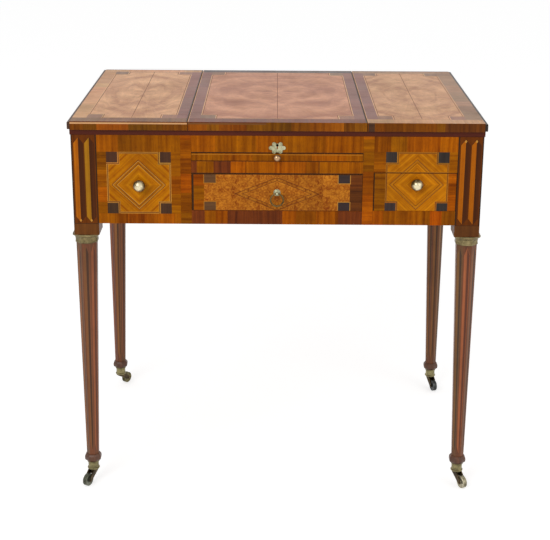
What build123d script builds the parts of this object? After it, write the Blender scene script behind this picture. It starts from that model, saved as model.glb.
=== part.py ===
"""A poudreuse: a dressing table whose top opens in three leaves, on octagonal tapered legs with casters.

Millimetres. +X is the sitter's right seen from the front, -Y is the front, +Z is up.
The origin is on the floor, midway across the width and midway from the knob tips to the back of the top.
"""
from build123d import *
import os
from math import cos, radians, sin

os.makedirs("parts", exist_ok=True)

# ---------------------------------------------------------------- driving dimensions
# The whole table
top_width = 753.0
top_depth = 500.0
overall_height = 734.0
top_thickness = 16.0
top_overhang = 6.5
end_overhang = 4.5
case_height = 177.0
post_size = 46.0
block_drop = 22.5

# Boards of the case
front_thickness = 20.0
side_thickness = 18.0
back_thickness = 14.0
partition_thickness = 19.5
bottom_thickness = 8.0
well_floor_thickness = 6.0
tongue_thickness = 8.0
tongue_length = 10.0
centre_opening = 311.0

# Heights of the rails and openings in the front
lock_rail_height = 42.6
slide_opening = 14.5
slide_rail_height = 24.0
centre_bottom_rail_height = 25.6
right_rail_height = 77.0
right_bottom_rail_height = 27.0
slide_bed_thickness = 8.0

# Moulding under the top
moulding_height = 10.0
moulding_proud = 1.2
moulding_cove = 0.8
moulding_notch_gap = 0.5

# Top leaves
lid_lap = 5.0
seam_gap = 1.0
lipping_thickness = 5.0
lipping_drop = 1.0
lipping_round = 1.6

# Hinges
hinge_leaf_length = 60.0
hinge_leaf_thickness = 1.5
fixed_leaf_width = 17.0
moving_leaf_width = 26.0
barrel_radius = 1.5
barrel_inset = 1.5
barrel_drop = 0.6
hinge_pin_radius = 0.75
hinge_pin_clearance = 0.08
knuckle_gap = 0.3
hinge_web_thickness = 2.0
moving_leaf_lap = 1.0
flap_hinge_inset = 27.5
lid_hinge_inset = 30.5

# Mirror in the lid
mirror_side_margin = 42.5
mirror_front_margin = 44.5
mirror_rear_margin = 36.0
mirror_thickness = 3.0
bead_width = 9.0
bead_thickness = 2.0

# Lock
lock_width = 60.0
lock_depth = 12.0
lock_margin = 3.0
lock_plate = 2.6
bolt_width = 16.0
bolt_depth = 6.0
bolt_height = 26.0
bolt_throw = 6.0
bolt_clearance = 0.35
bolt_shortfall = 1.0
strike_clearance = 1.0
strike_width = 34.0
strike_depth = 14.0
strike_thickness = 1.5
keyhole_radius = 2.4
keyhole_slot = 7.0
keyhole_slot_width = 2.2
key_height = 15.5
escutcheon_drop = 5.0
escutcheon_half_width = 11.5
escutcheon_half_height = 8.1
escutcheon_petal = 3.6
escutcheon_petals = 6
escutcheon_thickness = 1.6

# Drawers and the writing slide
drawer_gap = 0.6
drawer_side_thickness = 10.0
drawer_back_thickness = 8.0
drawer_bottom_thickness = 5.0
drawer_bottom_lift = 5.0
drawer_groove = 5.0
drawer_side_drop = 8.0
centre_drawer_rear_gap = 73.0
right_drawer_rear_gap = 83.0
runner_width = 14.0
slide_gap = 0.5
slide_rear_gap = 53.0
leather_thickness = 1.0
leather_side_margin = 16.0
leather_front_margin = 40.0
leather_rear_margin = 40.0

# Knobs and the ring pull
knob_radius = 11.0
knob_reach = 21.0
knob_foot_share = 0.6
knob_neck_share = 0.34
knob_swell_share = 0.8
knob_foot_height_share = 0.07
knob_neck_start_share = 0.16
knob_neck_end_share = 0.3
knob_swell_height_share = 0.4
knob_shoulder_share = 0.6
knob_crown_angle = 36.0
left_knob_height = 75.0
right_knob_drop = 20.0
left_field_shift = 1.0
right_field_shift = 2.5
shank_radius = 2.0
shank_clearance = 0.1
nut_radius = 4.2
nut_thickness = 3.0
slide_knob_radius = 6.5
slide_knob_reach = 11.0
slide_knob_shank = 9.0
ring_radius = 11.7
ring_wire_radius = 1.6
ring_clearance = 0.5
ring_standoff = 7.5
rosette_radius = 6.5
rosette_thickness = 1.6
eye_radius = 3.6
eye_length = 3.6
eye_stem = 1.5

# Legs
shaft_outset = 3.5
shaft_splay = 5.0
leg_top_flats = 38.4
leg_toe_flats = 22.7
collar_height = 18.0
collar_flange = 49.5
collar_flange_height = 4.5
collar_shoulder = 46.0
collar_cove_height = 3.0
collar_foot = 41.0
collar_clearance = 0.3
toe_ring_height = 16.0
toe_ring_flats = 31.0
toe_ring_step = 3.2
dowel_radius = 8.0
dowel_clearance = 0.05
dowel_seat = 2.0
socket_height = 17.0
socket_radius = 10.3
socket_rim_radius = 11.8
socket_rim_height = 3.0

# Casters
caster_height = 29.0
caster_trail = 20.0
wheel_radius = 12.0
wheel_width = 9.0
wheel_groove_depth = 0.8
wheel_groove_width = 1.0
wheel_grooves = 3
wheel_side_gap = 0.6
axle_radius = 1.5
axle_clearance = 0.08
axle_head = 1.0
fork_cheek = 2.0
fork_boss_radius = 8.0
fork_boss_height = 4.2
fork_eye_radius = 4.2
fork_gap = 0.3
fork_cheek_lap = 1.0
swivel_pin_radius = 3.0
swivel_pin_length = 12.0
swivel_clearance = 0.05
swivel_end_gap = 0.5

# Rest direction of each caster's trail, in degrees from +X
caster_angles = {
    "front_left": 243.0,
    "front_right": 296.0,
    "rear_left": 57.0,
    "rear_right": 287.0,
}

# ---------------------------------------------------------------- derived places
case_width = top_width - 2 * end_overhang
case_depth = top_depth - 2 * top_overhang
front_reach = max(top_depth, case_depth + 2 * knob_reach) / 2
table_y = (front_reach - top_depth / 2) / 2

case_top = overall_height - top_thickness
case_bottom = case_top - case_height
block_bottom = case_bottom - block_drop
floor_top = case_bottom + bottom_thickness
slide_top = case_top - lock_rail_height
slide_bottom = slide_top - slide_opening
centre_drawer_top = slide_bottom - slide_rail_height
centre_drawer_bottom = case_bottom + centre_bottom_rail_height
right_drawer_top = case_top - right_rail_height
right_drawer_bottom = case_bottom + right_bottom_rail_height

case_x = case_width / 2
side_in = case_x - side_thickness
post_in = case_x - post_size
post_x = case_x - post_size / 2
centre_x = centre_opening / 2
partition_x = centre_x + partition_thickness
lid_x = centre_x + lid_lap
flap_in = lid_x + seam_gap
top_x = top_width / 2
flap_out = top_x - lipping_thickness

front_face = table_y - case_depth / 2
back_face = table_y + case_depth / 2
rail_back = front_face + front_thickness
back_in = back_face - back_thickness
post_front_in = front_face + post_size
post_back_in = back_face - post_size
top_front = table_y - top_depth / 2
top_back = table_y + top_depth / 2

hinge_x = top_x - barrel_inset
hinge_y = top_back - barrel_inset
hinge_z = case_top - barrel_radius - barrel_drop
flap_hinge_reach = case_depth / 2 - post_size - flap_hinge_inset - hinge_leaf_length / 2
lid_hinge_reach = lid_x - lid_hinge_inset - hinge_leaf_length / 2

collar_bottom = block_bottom - collar_height
toe_ring_bottom = caster_height + socket_height
toe_ring_top = toe_ring_bottom + toe_ring_height

bolt_y = rail_back + lock_depth / 2
centre_floor = slide_top + slide_gap
right_floor = right_drawer_top + well_floor_thickness
lock_bottom = centre_floor + well_floor_thickness
lock_top = case_top - lock_margin
key_z = slide_top + key_height
section_middle = (post_in + partition_x) / 2
left_knob_z = case_bottom + left_knob_height
right_knob_z = right_drawer_top - right_knob_drop
left_knob_place = (left_field_shift - section_middle, front_face, left_knob_z)
right_knob_place = (right_field_shift + section_middle, front_face, right_knob_z)
ring_z = (centre_drawer_top + centre_drawer_bottom) / 2

corners = {
    "front_left": (-1, -1),
    "front_right": (1, -1),
    "rear_left": (-1, 1),
    "rear_right": (1, 1),
}


# ---------------------------------------------------------------- helpers
def board(x0, x1, y0, y1, z0, z1, mode=Mode.ADD):
    """A rectangular board between two corners, in the builder that is open."""
    with Locations(((x0 + x1) / 2, (y0 + y1) / 2, (z0 + z1) / 2)):
        Box(abs(x1 - x0), abs(y1 - y0), abs(z1 - z0), mode=mode)


def save(piece, label):
    """Labels a finished piece and writes its STEP file."""
    piece.part.label = label
    export_step(piece.part, f"parts/{label}.step")


def centred(middle, size):
    """The two ends of a length placed about its middle."""
    return middle - size / 2, middle + size / 2


def post_centre(corner):
    """Plan position of a corner post's middle."""
    side, end = corners[corner]
    return side * post_x, table_y + end * (case_depth - post_size) / 2


def leg_centre(corner):
    """Plan position of a leg shaft's axis, set a little outside the middle of its post."""
    x, y = post_centre(corner)
    return x + corners[corner][0] * shaft_outset, y


def toe_centre(corner):
    """Plan position of a leg at its toe, where the pair of legs stands a little wider."""
    x, y = leg_centre(corner)
    return x + corners[corner][0] * shaft_splay, y


def octagon(flats):
    """An octagon with a flat to each side, by its size across flats."""
    RegularPolygon(radius=flats / 2, side_count=8, major_radius=False, rotation=22.5)


def octagon_run(x, y, stations, foot=None):
    """Straight-sided octagonal solid through (height, flats) stations, its lower ends set at a foot."""
    foot = foot or (x, y)
    for (z0, flats0), (z1, flats1) in zip(stations, stations[1:]):
        with BuildSketch(Plane((*foot, z0))) as lower:
            octagon(flats0)
        with BuildSketch(Plane((x, y, z1))) as upper:
            octagon(flats1)
        loft([lower.sketch, upper.sketch], ruled=True)


def rod(start, direction, radius, length, mode=Mode.ADD):
    """A round rod from a start point along a direction, in the builder that is open."""
    with Locations(Plane(origin=start, z_dir=direction)):
        Cylinder(radius, length, align=(Align.CENTER, Align.CENTER, Align.MIN), mode=mode)


# Centre planes of the tongues in the thickness of their boards
front_tongue = centred(front_face + front_thickness / 2, tongue_thickness)
back_tongue = centred(back_face - back_thickness / 2, tongue_thickness)
side_tongue = centred(case_x - side_thickness / 2, tongue_thickness)


# ---------------------------------------------------------------- legs
def make_leg(corner):
    """Square corner post, octagonal tapered shaft and toe dowel, worked from one timber."""
    side, end = corners[corner]
    middle_x, middle_y = post_centre(corner)
    x, y = leg_centre(corner)
    with BuildPart() as leg:
        board(*centred(middle_x, post_size), *centred(middle_y, post_size), block_bottom, case_top)
        toe = toe_centre(corner)
        octagon_run(x, y, [(toe_ring_top, leg_toe_flats), (block_bottom, leg_top_flats)], toe)
        rod((*toe, toe_ring_bottom - dowel_seat), (0, 0, 1), dowel_radius, toe_ring_height + dowel_seat)
        groove_x = (side * post_in, side * (post_in + tongue_length))
        groove_y = front_tongue if end < 0 else back_tongue
        board(*groove_x, *groove_y, case_bottom, case_top, Mode.SUBTRACT)
        inner = table_y + end * (case_depth / 2 - post_size)
        along = (side * side_tongue[0], side * side_tongue[1])
        board(*along, inner, inner + end * tongue_length, case_bottom, case_top, Mode.SUBTRACT)
    save(leg, f"leg_{corner}")


for corner in corners:
    make_leg(corner)

with BuildPart() as leg_collars:
    for corner in corners:
        x, y = leg_centre(corner)
        flange_bottom = block_bottom - collar_flange_height
        octagon_run(x, y, [(flange_bottom, collar_flange), (block_bottom, collar_flange)])
        cove_bottom = flange_bottom - collar_cove_height
        octagon_run(x, y, [(collar_bottom, collar_foot), (cove_bottom, collar_foot)])
        octagon_run(x, y, [(cove_bottom, collar_foot), (flange_bottom, collar_shoulder)])
        with BuildSketch(Plane((x, y, collar_bottom))):
            octagon(leg_top_flats + collar_clearance)
        extrude(amount=collar_height, mode=Mode.SUBTRACT)
save(leg_collars, "leg_collars")

with BuildPart() as toe_rings:
    for corner in corners:
        x, y = toe_centre(corner)
        stations = [
            (toe_ring_bottom, leg_toe_flats),
            (toe_ring_bottom + toe_ring_step, toe_ring_flats),
            (toe_ring_top - toe_ring_step, toe_ring_flats),
            (toe_ring_top, leg_toe_flats + toe_ring_step),
        ]
        octagon_run(x, y, stations)
        hole = dowel_radius + dowel_clearance
        rod((x, y, toe_ring_bottom), (0, 0, 1), hole, toe_ring_height, Mode.SUBTRACT)
save(toe_rings, "toe_rings")

with BuildPart() as caster_sockets:
    for corner in corners:
        x, y = toe_centre(corner)
        rod((x, y, caster_height), (0, 0, 1), socket_radius, socket_height)
        rod((x, y, caster_height), (0, 0, 1), socket_rim_radius, socket_rim_height)
        rim_bottom = toe_ring_bottom - socket_rim_height
        rod((x, y, rim_bottom), (0, 0, 1), socket_rim_radius, socket_rim_height)
        seat = (x, y, toe_ring_bottom - dowel_seat)
        rod(seat, (0, 0, 1), dowel_radius + dowel_clearance, dowel_seat, Mode.SUBTRACT)
        bore = swivel_pin_radius + swivel_clearance
        bore_length = fork_gap + swivel_pin_length + swivel_end_gap
        rod((x, y, caster_height), (0, 0, 1), bore, bore_length, Mode.SUBTRACT)
save(caster_sockets, "caster_sockets")


# ---------------------------------------------------------------- casters
def make_caster(corner):
    """Swivel fork with its riveted axle, and the wheel that turns on it."""
    x, y = toe_centre(corner)
    angle = radians(caster_angles[corner])
    ahead = (cos(angle), sin(angle), 0)
    across = (sin(angle), -cos(angle), 0)
    hub = (x + caster_trail * ahead[0], y + caster_trail * ahead[1], wheel_radius)
    cheek_in = wheel_width / 2 + wheel_side_gap
    axle_half = cheek_in + fork_cheek + axle_head
    boss_top = caster_height - fork_gap
    boss_bottom = boss_top - fork_boss_height
    with BuildPart() as fork:
        rod((x, y, boss_bottom), (0, 0, 1), fork_boss_radius, fork_boss_height)
        rod((x, y, boss_top), (0, 0, 1), swivel_pin_radius, swivel_pin_length)
        for offset in (cheek_in, -cheek_in - fork_cheek):
            start = (x + offset * across[0], y + offset * across[1], 0)
            with BuildSketch(Plane(origin=start, x_dir=ahead, z_dir=across)):
                with BuildLine():
                    Polyline(
                        (fork_cheek_lap - fork_boss_radius, boss_top),
                        (fork_boss_radius, boss_top),
                        (caster_trail + fork_eye_radius, wheel_radius + fork_cheek_lap),
                        (caster_trail - fork_eye_radius, wheel_radius - fork_cheek_lap),
                        (fork_cheek_lap - fork_boss_radius, boss_bottom),
                        close=True,
                    )
                make_face()
                with Locations((caster_trail, wheel_radius)):
                    Circle(fork_eye_radius)
            extrude(amount=fork_cheek)
        axle_start = (hub[0] - axle_half * across[0], hub[1] - axle_half * across[1], hub[2])
        rod(axle_start, across, axle_radius, 2 * axle_half)
    save(fork, f"caster_fork_{corner}")

    rim_start = (hub[0] - wheel_width / 2 * across[0], hub[1] - wheel_width / 2 * across[1], hub[2])
    with BuildPart() as wheel:
        rod(rim_start, across, wheel_radius, wheel_width)
        for i in range(wheel_grooves):
            middle = wheel_width * (i + 1) / (wheel_grooves + 1)
            offset = middle - wheel_width / 2 - wheel_groove_width / 2
            start = (hub[0] + offset * across[0], hub[1] + offset * across[1], hub[2])
            with BuildSketch(Plane(origin=start, z_dir=across)):
                Circle(wheel_radius + wheel_groove_depth)
                Circle(wheel_radius - wheel_groove_depth, mode=Mode.SUBTRACT)
            extrude(amount=wheel_groove_width, mode=Mode.SUBTRACT)
        rod(rim_start, across, axle_radius + axle_clearance, wheel_width, Mode.SUBTRACT)
    save(wheel, f"caster_wheel_{corner}")


for corner in corners:
    make_caster(corner)


# ---------------------------------------------------------------- case
for side, label in ((-1, "left"), (1, "right")):
    with BuildPart() as side_panel:
        board(side * side_in, side * case_x, post_front_in, post_back_in, case_bottom, case_top)
        reach = (post_front_in - tongue_length, post_back_in + tongue_length)
        board(side * side_tongue[0], side * side_tongue[1], *reach, case_bottom, case_top)
        for end in (-1, 1):
            along = centred(table_y + end * flap_hinge_reach, hinge_leaf_length)
            leaf_in = hinge_x - fixed_leaf_width
            bed = case_top - hinge_leaf_thickness
            board(side * leaf_in, side * case_x, *along, bed, case_top, Mode.SUBTRACT)
    save(side_panel, f"{label}_side_panel")

with BuildPart() as back_panel:
    board(-post_in, post_in, back_in, back_face, case_bottom, case_top)
    reach = post_in + tongue_length
    board(-reach, reach, *back_tongue, case_bottom, case_top)
    for side in (-1, 1):
        along = centred(side * lid_hinge_reach, hinge_leaf_length)
        bed = case_top - hinge_leaf_thickness
        board(*along, hinge_y - fixed_leaf_width, back_face, bed, case_top, Mode.SUBTRACT)
save(back_panel, "back_panel")

with BuildPart() as left_front_panel:
    board(-post_in, -partition_x, front_face, rail_back, case_bottom, case_top)
    board(-post_in - tongue_length, -post_in, *front_tongue, case_bottom, case_top)
    hole = shank_radius + shank_clearance
    rod(left_knob_place, (0, 1, 0), hole, front_thickness, Mode.SUBTRACT)
save(left_front_panel, "left_front_panel")

with BuildPart() as right_front_rail:
    board(partition_x, post_in, front_face, rail_back, right_drawer_top, case_top)
    board(post_in, post_in + tongue_length, *front_tongue, right_drawer_top, case_top)
save(right_front_rail, "right_front_rail")

with BuildPart() as bottom_rails:
    board(-centre_x, centre_x, front_face, rail_back, case_bottom, centre_drawer_bottom)
    board(partition_x, post_in, front_face, rail_back, case_bottom, right_drawer_bottom)
    board(post_in, post_in + tongue_length, *front_tongue, case_bottom, right_drawer_bottom)
save(bottom_rails, "bottom_rails")


def keyhole(depth_start, depth):
    """A key opening cut from a depth along +Y, in the builder that is open."""
    place = Plane(origin=(0, depth_start, key_z), x_dir=(1, 0, 0), z_dir=(0, -1, 0))
    with BuildSketch(place) as opening:
        Circle(keyhole_radius)
        with Locations((0, -keyhole_slot / 2)):
            Rectangle(keyhole_slot_width, keyhole_slot)
    extrude(opening.sketch, amount=-depth, mode=Mode.SUBTRACT)


with BuildPart() as lock_rail:
    board(-centre_x, centre_x, front_face, rail_back, slide_top, case_top)
    keyhole(front_face, front_thickness)
save(lock_rail, "lock_rail")

with BuildPart() as slide_rail:
    board(-centre_x, centre_x, front_face, rail_back, centre_drawer_top, slide_bottom)
save(slide_rail, "slide_rail")

for side, label in ((-1, "left"), (1, "right")):
    with BuildPart() as partition:
        board(side * centre_x, side * partition_x, front_face, back_in, floor_top, case_top)
        board(side * centre_x, side * partition_x, front_face, rail_back, case_bottom, floor_top)
    save(partition, f"{label}_partition")

with BuildPart() as bottom_board:
    board(-side_in, side_in, rail_back, back_in, case_bottom, floor_top)
    for side in (-1, 1):
        corner_x = (side * post_in, side * side_in)
        board(*corner_x, rail_back, post_front_in, case_bottom, floor_top, Mode.SUBTRACT)
        board(*corner_x, post_back_in, back_in, case_bottom, floor_top, Mode.SUBTRACT)
save(bottom_board, "bottom_board")

with BuildPart() as slide_bed:
    board(-centre_x, centre_x, rail_back, back_in, slide_bottom - slide_bed_thickness, slide_bottom)
save(slide_bed, "slide_bed")

with BuildPart() as well_floors:
    board(-centre_x, centre_x, rail_back, back_in, centre_floor, centre_floor + well_floor_thickness)
    board(partition_x, side_in, rail_back, back_in, right_floor, right_floor + well_floor_thickness)
    for y0, y1 in ((rail_back, post_front_in), (post_back_in, back_in)):
        board(post_in, side_in, y0, y1, right_floor, right_floor + well_floor_thickness, Mode.SUBTRACT)
save(well_floors, "well_floors")

with BuildPart() as drawer_runners:
    for side in (-1, 1):
        edge = side * (centre_x - runner_width)
        board(edge, side * centre_x, rail_back, back_in, floor_top, centre_drawer_bottom)
    board(partition_x, partition_x + runner_width, rail_back, back_in, floor_top, right_drawer_bottom)
    board(post_in - runner_width, side_in, post_front_in, post_back_in, floor_top, right_drawer_bottom)
    guide_top = (right_drawer_bottom + right_drawer_top) / 2
    board(post_in, side_in, post_front_in, post_back_in, right_drawer_bottom, guide_top)
save(drawer_runners, "drawer_runners")

with BuildPart() as drawer_kickers:
    for side in (-1, 1):
        edge = side * (centre_x - runner_width)
        kicker_top = slide_bottom - slide_bed_thickness
        board(edge, side * centre_x, rail_back, back_in, centre_drawer_top, kicker_top)
    board(partition_x, partition_x + runner_width, rail_back, back_in, right_drawer_top, right_floor)
    board(post_in - runner_width, side_in, post_front_in, post_back_in, right_drawer_top, right_floor)
save(drawer_kickers, "drawer_kickers")

# The moulding: four coved strips under the top, notched where the hinge leaves cross them
moulding_bottom = case_top - moulding_height
proud_x = case_x + moulding_proud
with BuildPart() as frieze_moulding:
    for y0, y1 in ((front_face - moulding_proud, front_face), (back_face, back_face + moulding_proud)):
        board(-proud_x, proud_x, y0, y1, moulding_bottom, case_top)
    for side in (-1, 1):
        board(side * case_x, side * proud_x, front_face, back_face, moulding_bottom, case_top)
    outer = frieze_moulding.faces().filter_by(Axis.Z).sort_by(Axis.Z)[0].outer_wire().edges()
    chamfer(outer, moulding_cove)
    bed = case_top - hinge_leaf_thickness
    notch = hinge_leaf_length + 2 * moulding_notch_gap
    for side in (-1, 1):
        for end in (-1, 1):
            along = centred(table_y + end * flap_hinge_reach, notch)
            board(side * case_x, side * proud_x, *along, bed, case_top, Mode.SUBTRACT)
        along = centred(side * lid_hinge_reach, notch)
        board(*along, back_face, back_face + moulding_proud, bed, case_top, Mode.SUBTRACT)
save(frieze_moulding, "frieze_moulding")

# ---------------------------------------------------------------- hinges
knuckle = hinge_leaf_length / 3


def fixed_leaf(axis_point, inward, along):
    """Leaf let into the case, with the two outer knuckles; inward points from the pin into the case."""
    ax, ay = axis_point
    half = hinge_leaf_length / 2
    clear = knuckle / 2 + knuckle_gap
    plan = Plane(origin=(ax, ay, case_top), x_dir=(*inward, 0), z_dir=(0, 0, 1))
    with BuildSketch(plan) as leaf:
        with Locations((fixed_leaf_width / 2, 0)):
            Rectangle(fixed_leaf_width, hinge_leaf_length)
        notch = barrel_radius + 2 * knuckle_gap
        with Locations((notch / 2, 0)):
            Rectangle(notch, 2 * clear, mode=Mode.SUBTRACT)
    extrude(leaf.sketch, amount=-hinge_leaf_thickness)
    for start in (-half, clear):
        point = (ax + start * along[0], ay + start * along[1], hinge_z)
        rod(point, (*along, 0), barrel_radius, half - clear)
        rod(point, (*along, 0), hinge_pin_radius, half - clear, Mode.SUBTRACT)


def moving_leaf(axis_point, inward, along):
    """Leaf let into the underside of the top, with the middle knuckle on a short web."""
    ax, ay = axis_point
    plan = Plane(origin=(ax, ay, case_top), x_dir=(*inward, 0), z_dir=(0, 0, 1))
    with BuildSketch(plan) as leaf:
        with Locations(((moving_leaf_width - moving_leaf_lap) / 2, 0)):
            Rectangle(moving_leaf_width + moving_leaf_lap, hinge_leaf_length)
    extrude(leaf.sketch, amount=hinge_leaf_thickness)
    with BuildSketch(Plane(origin=(ax, ay, hinge_z), x_dir=(*inward, 0), z_dir=(0, 0, 1))) as web:
        Rectangle(hinge_web_thickness, knuckle)
    extrude(web.sketch, amount=case_top - hinge_z)
    point = (ax - knuckle / 2 * along[0], ay - knuckle / 2 * along[1], hinge_z)
    rod(point, (*along, 0), barrel_radius, knuckle)
    rod(point, (*along, 0), hinge_pin_radius + hinge_pin_clearance, knuckle, Mode.SUBTRACT)


flap_hinges = {
    side: [(side * hinge_x, table_y + end * flap_hinge_reach) for end in (-1, 1)]
    for side in (-1, 1)
}
lid_hinges = [(side * lid_hinge_reach, hinge_y) for side in (-1, 1)]

with BuildPart() as hinge_fixed_leaves:
    for side, places in flap_hinges.items():
        for place in places:
            fixed_leaf(place, (-side, 0), (0, 1))
    for place in lid_hinges:
        fixed_leaf(place, (0, -1), (1, 0))
save(hinge_fixed_leaves, "hinge_fixed_leaves")

with BuildPart() as hinge_pins:
    for places in flap_hinges.values():
        for x, y in places:
            rod((x, y - hinge_leaf_length / 2, hinge_z), (0, 1, 0), hinge_pin_radius, hinge_leaf_length)
    for x, y in lid_hinges:
        rod((x - hinge_leaf_length / 2, y, hinge_z), (1, 0, 0), hinge_pin_radius, hinge_leaf_length)
save(hinge_pins, "hinge_pins")

# ---------------------------------------------------------------- side leaves of the top
for side, label in ((-1, "left"), (1, "right")):
    with BuildPart() as flap_board:
        board(side * flap_in, side * flap_out, top_front, top_back, case_top, overall_height)
        for x, y in flap_hinges[side]:
            leaf_in = side * (hinge_x - moving_leaf_width)
            recess = (case_top, case_top + hinge_leaf_thickness)
            board(leaf_in, side * flap_out, *centred(y, hinge_leaf_length), *recess, Mode.SUBTRACT)
    save(flap_board, f"{label}_flap_board")

    with BuildPart() as lipping:
        lipping_z = (case_top + hinge_leaf_thickness, overall_height - lipping_drop)
        board(side * flap_out, side * top_x, top_front, top_back, *lipping_z)
        outer = lipping.edges().filter_by(Axis.Y).sort_by(Axis.X)[::side][-2:]
        fillet(outer, lipping_round)
    save(lipping, f"{label}_flap_lipping")

    with BuildPart() as flap_leaves:
        for place in flap_hinges[side]:
            moving_leaf(place, (-side, 0), (0, 1))
    save(flap_leaves, f"{label}_flap_hinge_leaves")

# ---------------------------------------------------------------- centre lid and its mirror
mirror_x = lid_x - mirror_side_margin
mirror_front = bolt_y + strike_depth / 2 + mirror_front_margin
mirror_rear = hinge_y - moving_leaf_width - mirror_rear_margin
mirror_y = (mirror_front, mirror_rear)
mirror_top = case_top + bead_thickness + mirror_thickness
strike_plate = (*centred(0, strike_width), *centred(bolt_y, strike_depth))
slot_width = bolt_width + 2 * strike_clearance
slot_depth = bolt_depth + 2 * strike_clearance
strike_slot = (*centred(0, slot_width), *centred(bolt_y, slot_depth))

with BuildPart() as lid_board:
    board(-lid_x, lid_x, top_front, top_back, case_top, overall_height)
    board(-mirror_x, mirror_x, *mirror_y, case_top, mirror_top, Mode.SUBTRACT)
    for x, y in lid_hinges:
        recess_y = (hinge_y - moving_leaf_width, hinge_y + moving_leaf_lap)
        recess_z = (case_top, case_top + hinge_leaf_thickness)
        board(*centred(x, hinge_leaf_length), *recess_y, *recess_z, Mode.SUBTRACT)
    board(*strike_plate, case_top, case_top + strike_thickness, Mode.SUBTRACT)
    pocket_top = case_top + bolt_throw + strike_thickness
    board(*strike_slot, case_top, pocket_top, Mode.SUBTRACT)
save(lid_board, "lid_board")

with BuildPart() as mirror_glass:
    board(-mirror_x, mirror_x, *mirror_y, case_top + bead_thickness, mirror_top)
save(mirror_glass, "mirror_glass")

with BuildPart() as mirror_bead:
    board(-mirror_x, mirror_x, *mirror_y, case_top, case_top + bead_thickness)
    inner_y = (mirror_front + bead_width, mirror_rear - bead_width)
    inner_x = mirror_x - bead_width
    board(-inner_x, inner_x, *inner_y, case_top, case_top + bead_thickness, Mode.SUBTRACT)
save(mirror_bead, "mirror_bead")

with BuildPart() as lid_hinge_leaves:
    for place in lid_hinges:
        moving_leaf(place, (0, -1), (1, 0))
save(lid_hinge_leaves, "lid_hinge_leaves")

with BuildPart() as lid_strike:
    board(*strike_plate, case_top, case_top + strike_thickness)
    board(*strike_slot, case_top, case_top + strike_thickness, Mode.SUBTRACT)
save(lid_strike, "lid_strike")

# ---------------------------------------------------------------- lock
bolt_bottom = lock_top - bolt_height
with BuildPart() as lock_case:
    board(*centred(0, lock_width), rail_back, rail_back + lock_depth, lock_bottom, lock_top)
    slot_x = centred(0, bolt_width + 2 * bolt_clearance)
    slot_y = centred(bolt_y, bolt_depth + 2 * bolt_clearance)
    board(*slot_x, *slot_y, bolt_bottom - bolt_clearance, lock_top, Mode.SUBTRACT)
    keyhole(rail_back, lock_plate)
save(lock_case, "lock_case")

with BuildPart() as lock_bolt:
    bolt_top = case_top - bolt_shortfall
    board(*centred(0, bolt_width), *centred(bolt_y, bolt_depth), bolt_bottom, bolt_top)
save(lock_bolt, "lock_bolt")

with BuildPart() as escutcheon:
    middle = key_z - escutcheon_drop
    place = Plane(origin=(0, front_face, middle), x_dir=(1, 0, 0), z_dir=(0, -1, 0))
    turns = [radians(i * 360 / escutcheon_petals) for i in range(escutcheon_petals)]
    petals = [(escutcheon_half_width * cos(t), escutcheon_half_height * sin(t)) for t in turns]
    with BuildSketch(place):
        Ellipse(escutcheon_half_width, escutcheon_half_height)
        with Locations(*petals):
            Circle(escutcheon_petal)
    extrude(amount=escutcheon_thickness)
    keyhole(front_face - escutcheon_thickness, escutcheon_thickness)
save(escutcheon, "escutcheon")


# ---------------------------------------------------------------- knobs and the ring pull
def knob_head(place, radius, reach):
    """A turned knob on a small foot, standing out of the front along -Y."""
    foot = knob_foot_share * radius
    neck = knob_neck_share * radius
    neck_end = knob_neck_end_share * reach
    swell = (knob_swell_share * radius, knob_swell_height_share * reach)
    shoulder = knob_shoulder_share * reach
    middle = (reach**2 - radius**2 - shoulder**2) / (2 * (reach - shoulder))
    dome = reach - middle
    turn = radians(knob_crown_angle)
    crown = (dome * sin(turn), middle + dome * cos(turn))
    section = Plane(origin=place, x_dir=(1, 0, 0), z_dir=(0, 0, -1))
    with BuildSketch(section) as profile:
        with BuildLine():
            Polyline(
                (0, reach),
                (0, 0),
                (foot, 0),
                (foot, knob_foot_height_share * reach),
                (neck, knob_neck_start_share * reach),
                (neck, neck_end),
            )
            ThreePointArc((neck, neck_end), swell, (radius, shoulder))
            ThreePointArc((radius, shoulder), crown, (0, reach))
        make_face()
    revolve(profile.sketch, axis=Axis(place, (0, -1, 0)))


def shank_nut(place):
    """Hexagonal nut on a fitting's shank, against the back of a front board."""
    x, y, z = place
    nut_face = (x, y + front_thickness, z)
    with BuildSketch(Plane(origin=nut_face, z_dir=(0, 1, 0))) as nut:
        RegularPolygon(radius=nut_radius, side_count=6)
        Circle(shank_radius + shank_clearance, mode=Mode.SUBTRACT)
    extrude(nut.sketch, amount=nut_thickness)


def make_knob(place, label):
    """Drawer-size knob with its threaded shank and the nut behind the board."""
    with BuildPart() as knob:
        shank_nut(place)
        knob_head(place, knob_radius, knob_reach)
        rod(place, (0, 1, 0), shank_radius, front_thickness + nut_thickness)
    save(knob, label)


make_knob(left_knob_place, "left_knob")
make_knob(right_knob_place, "right_drawer_knob")

slide_knob_place = (0, front_face, (slide_top + slide_bottom) / 2)
with BuildPart() as slide_knob:
    knob_head(slide_knob_place, slide_knob_radius, slide_knob_reach)
    rod(slide_knob_place, (0, 1, 0), shank_radius, slide_knob_shank)
save(slide_knob, "slide_knob")

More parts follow.
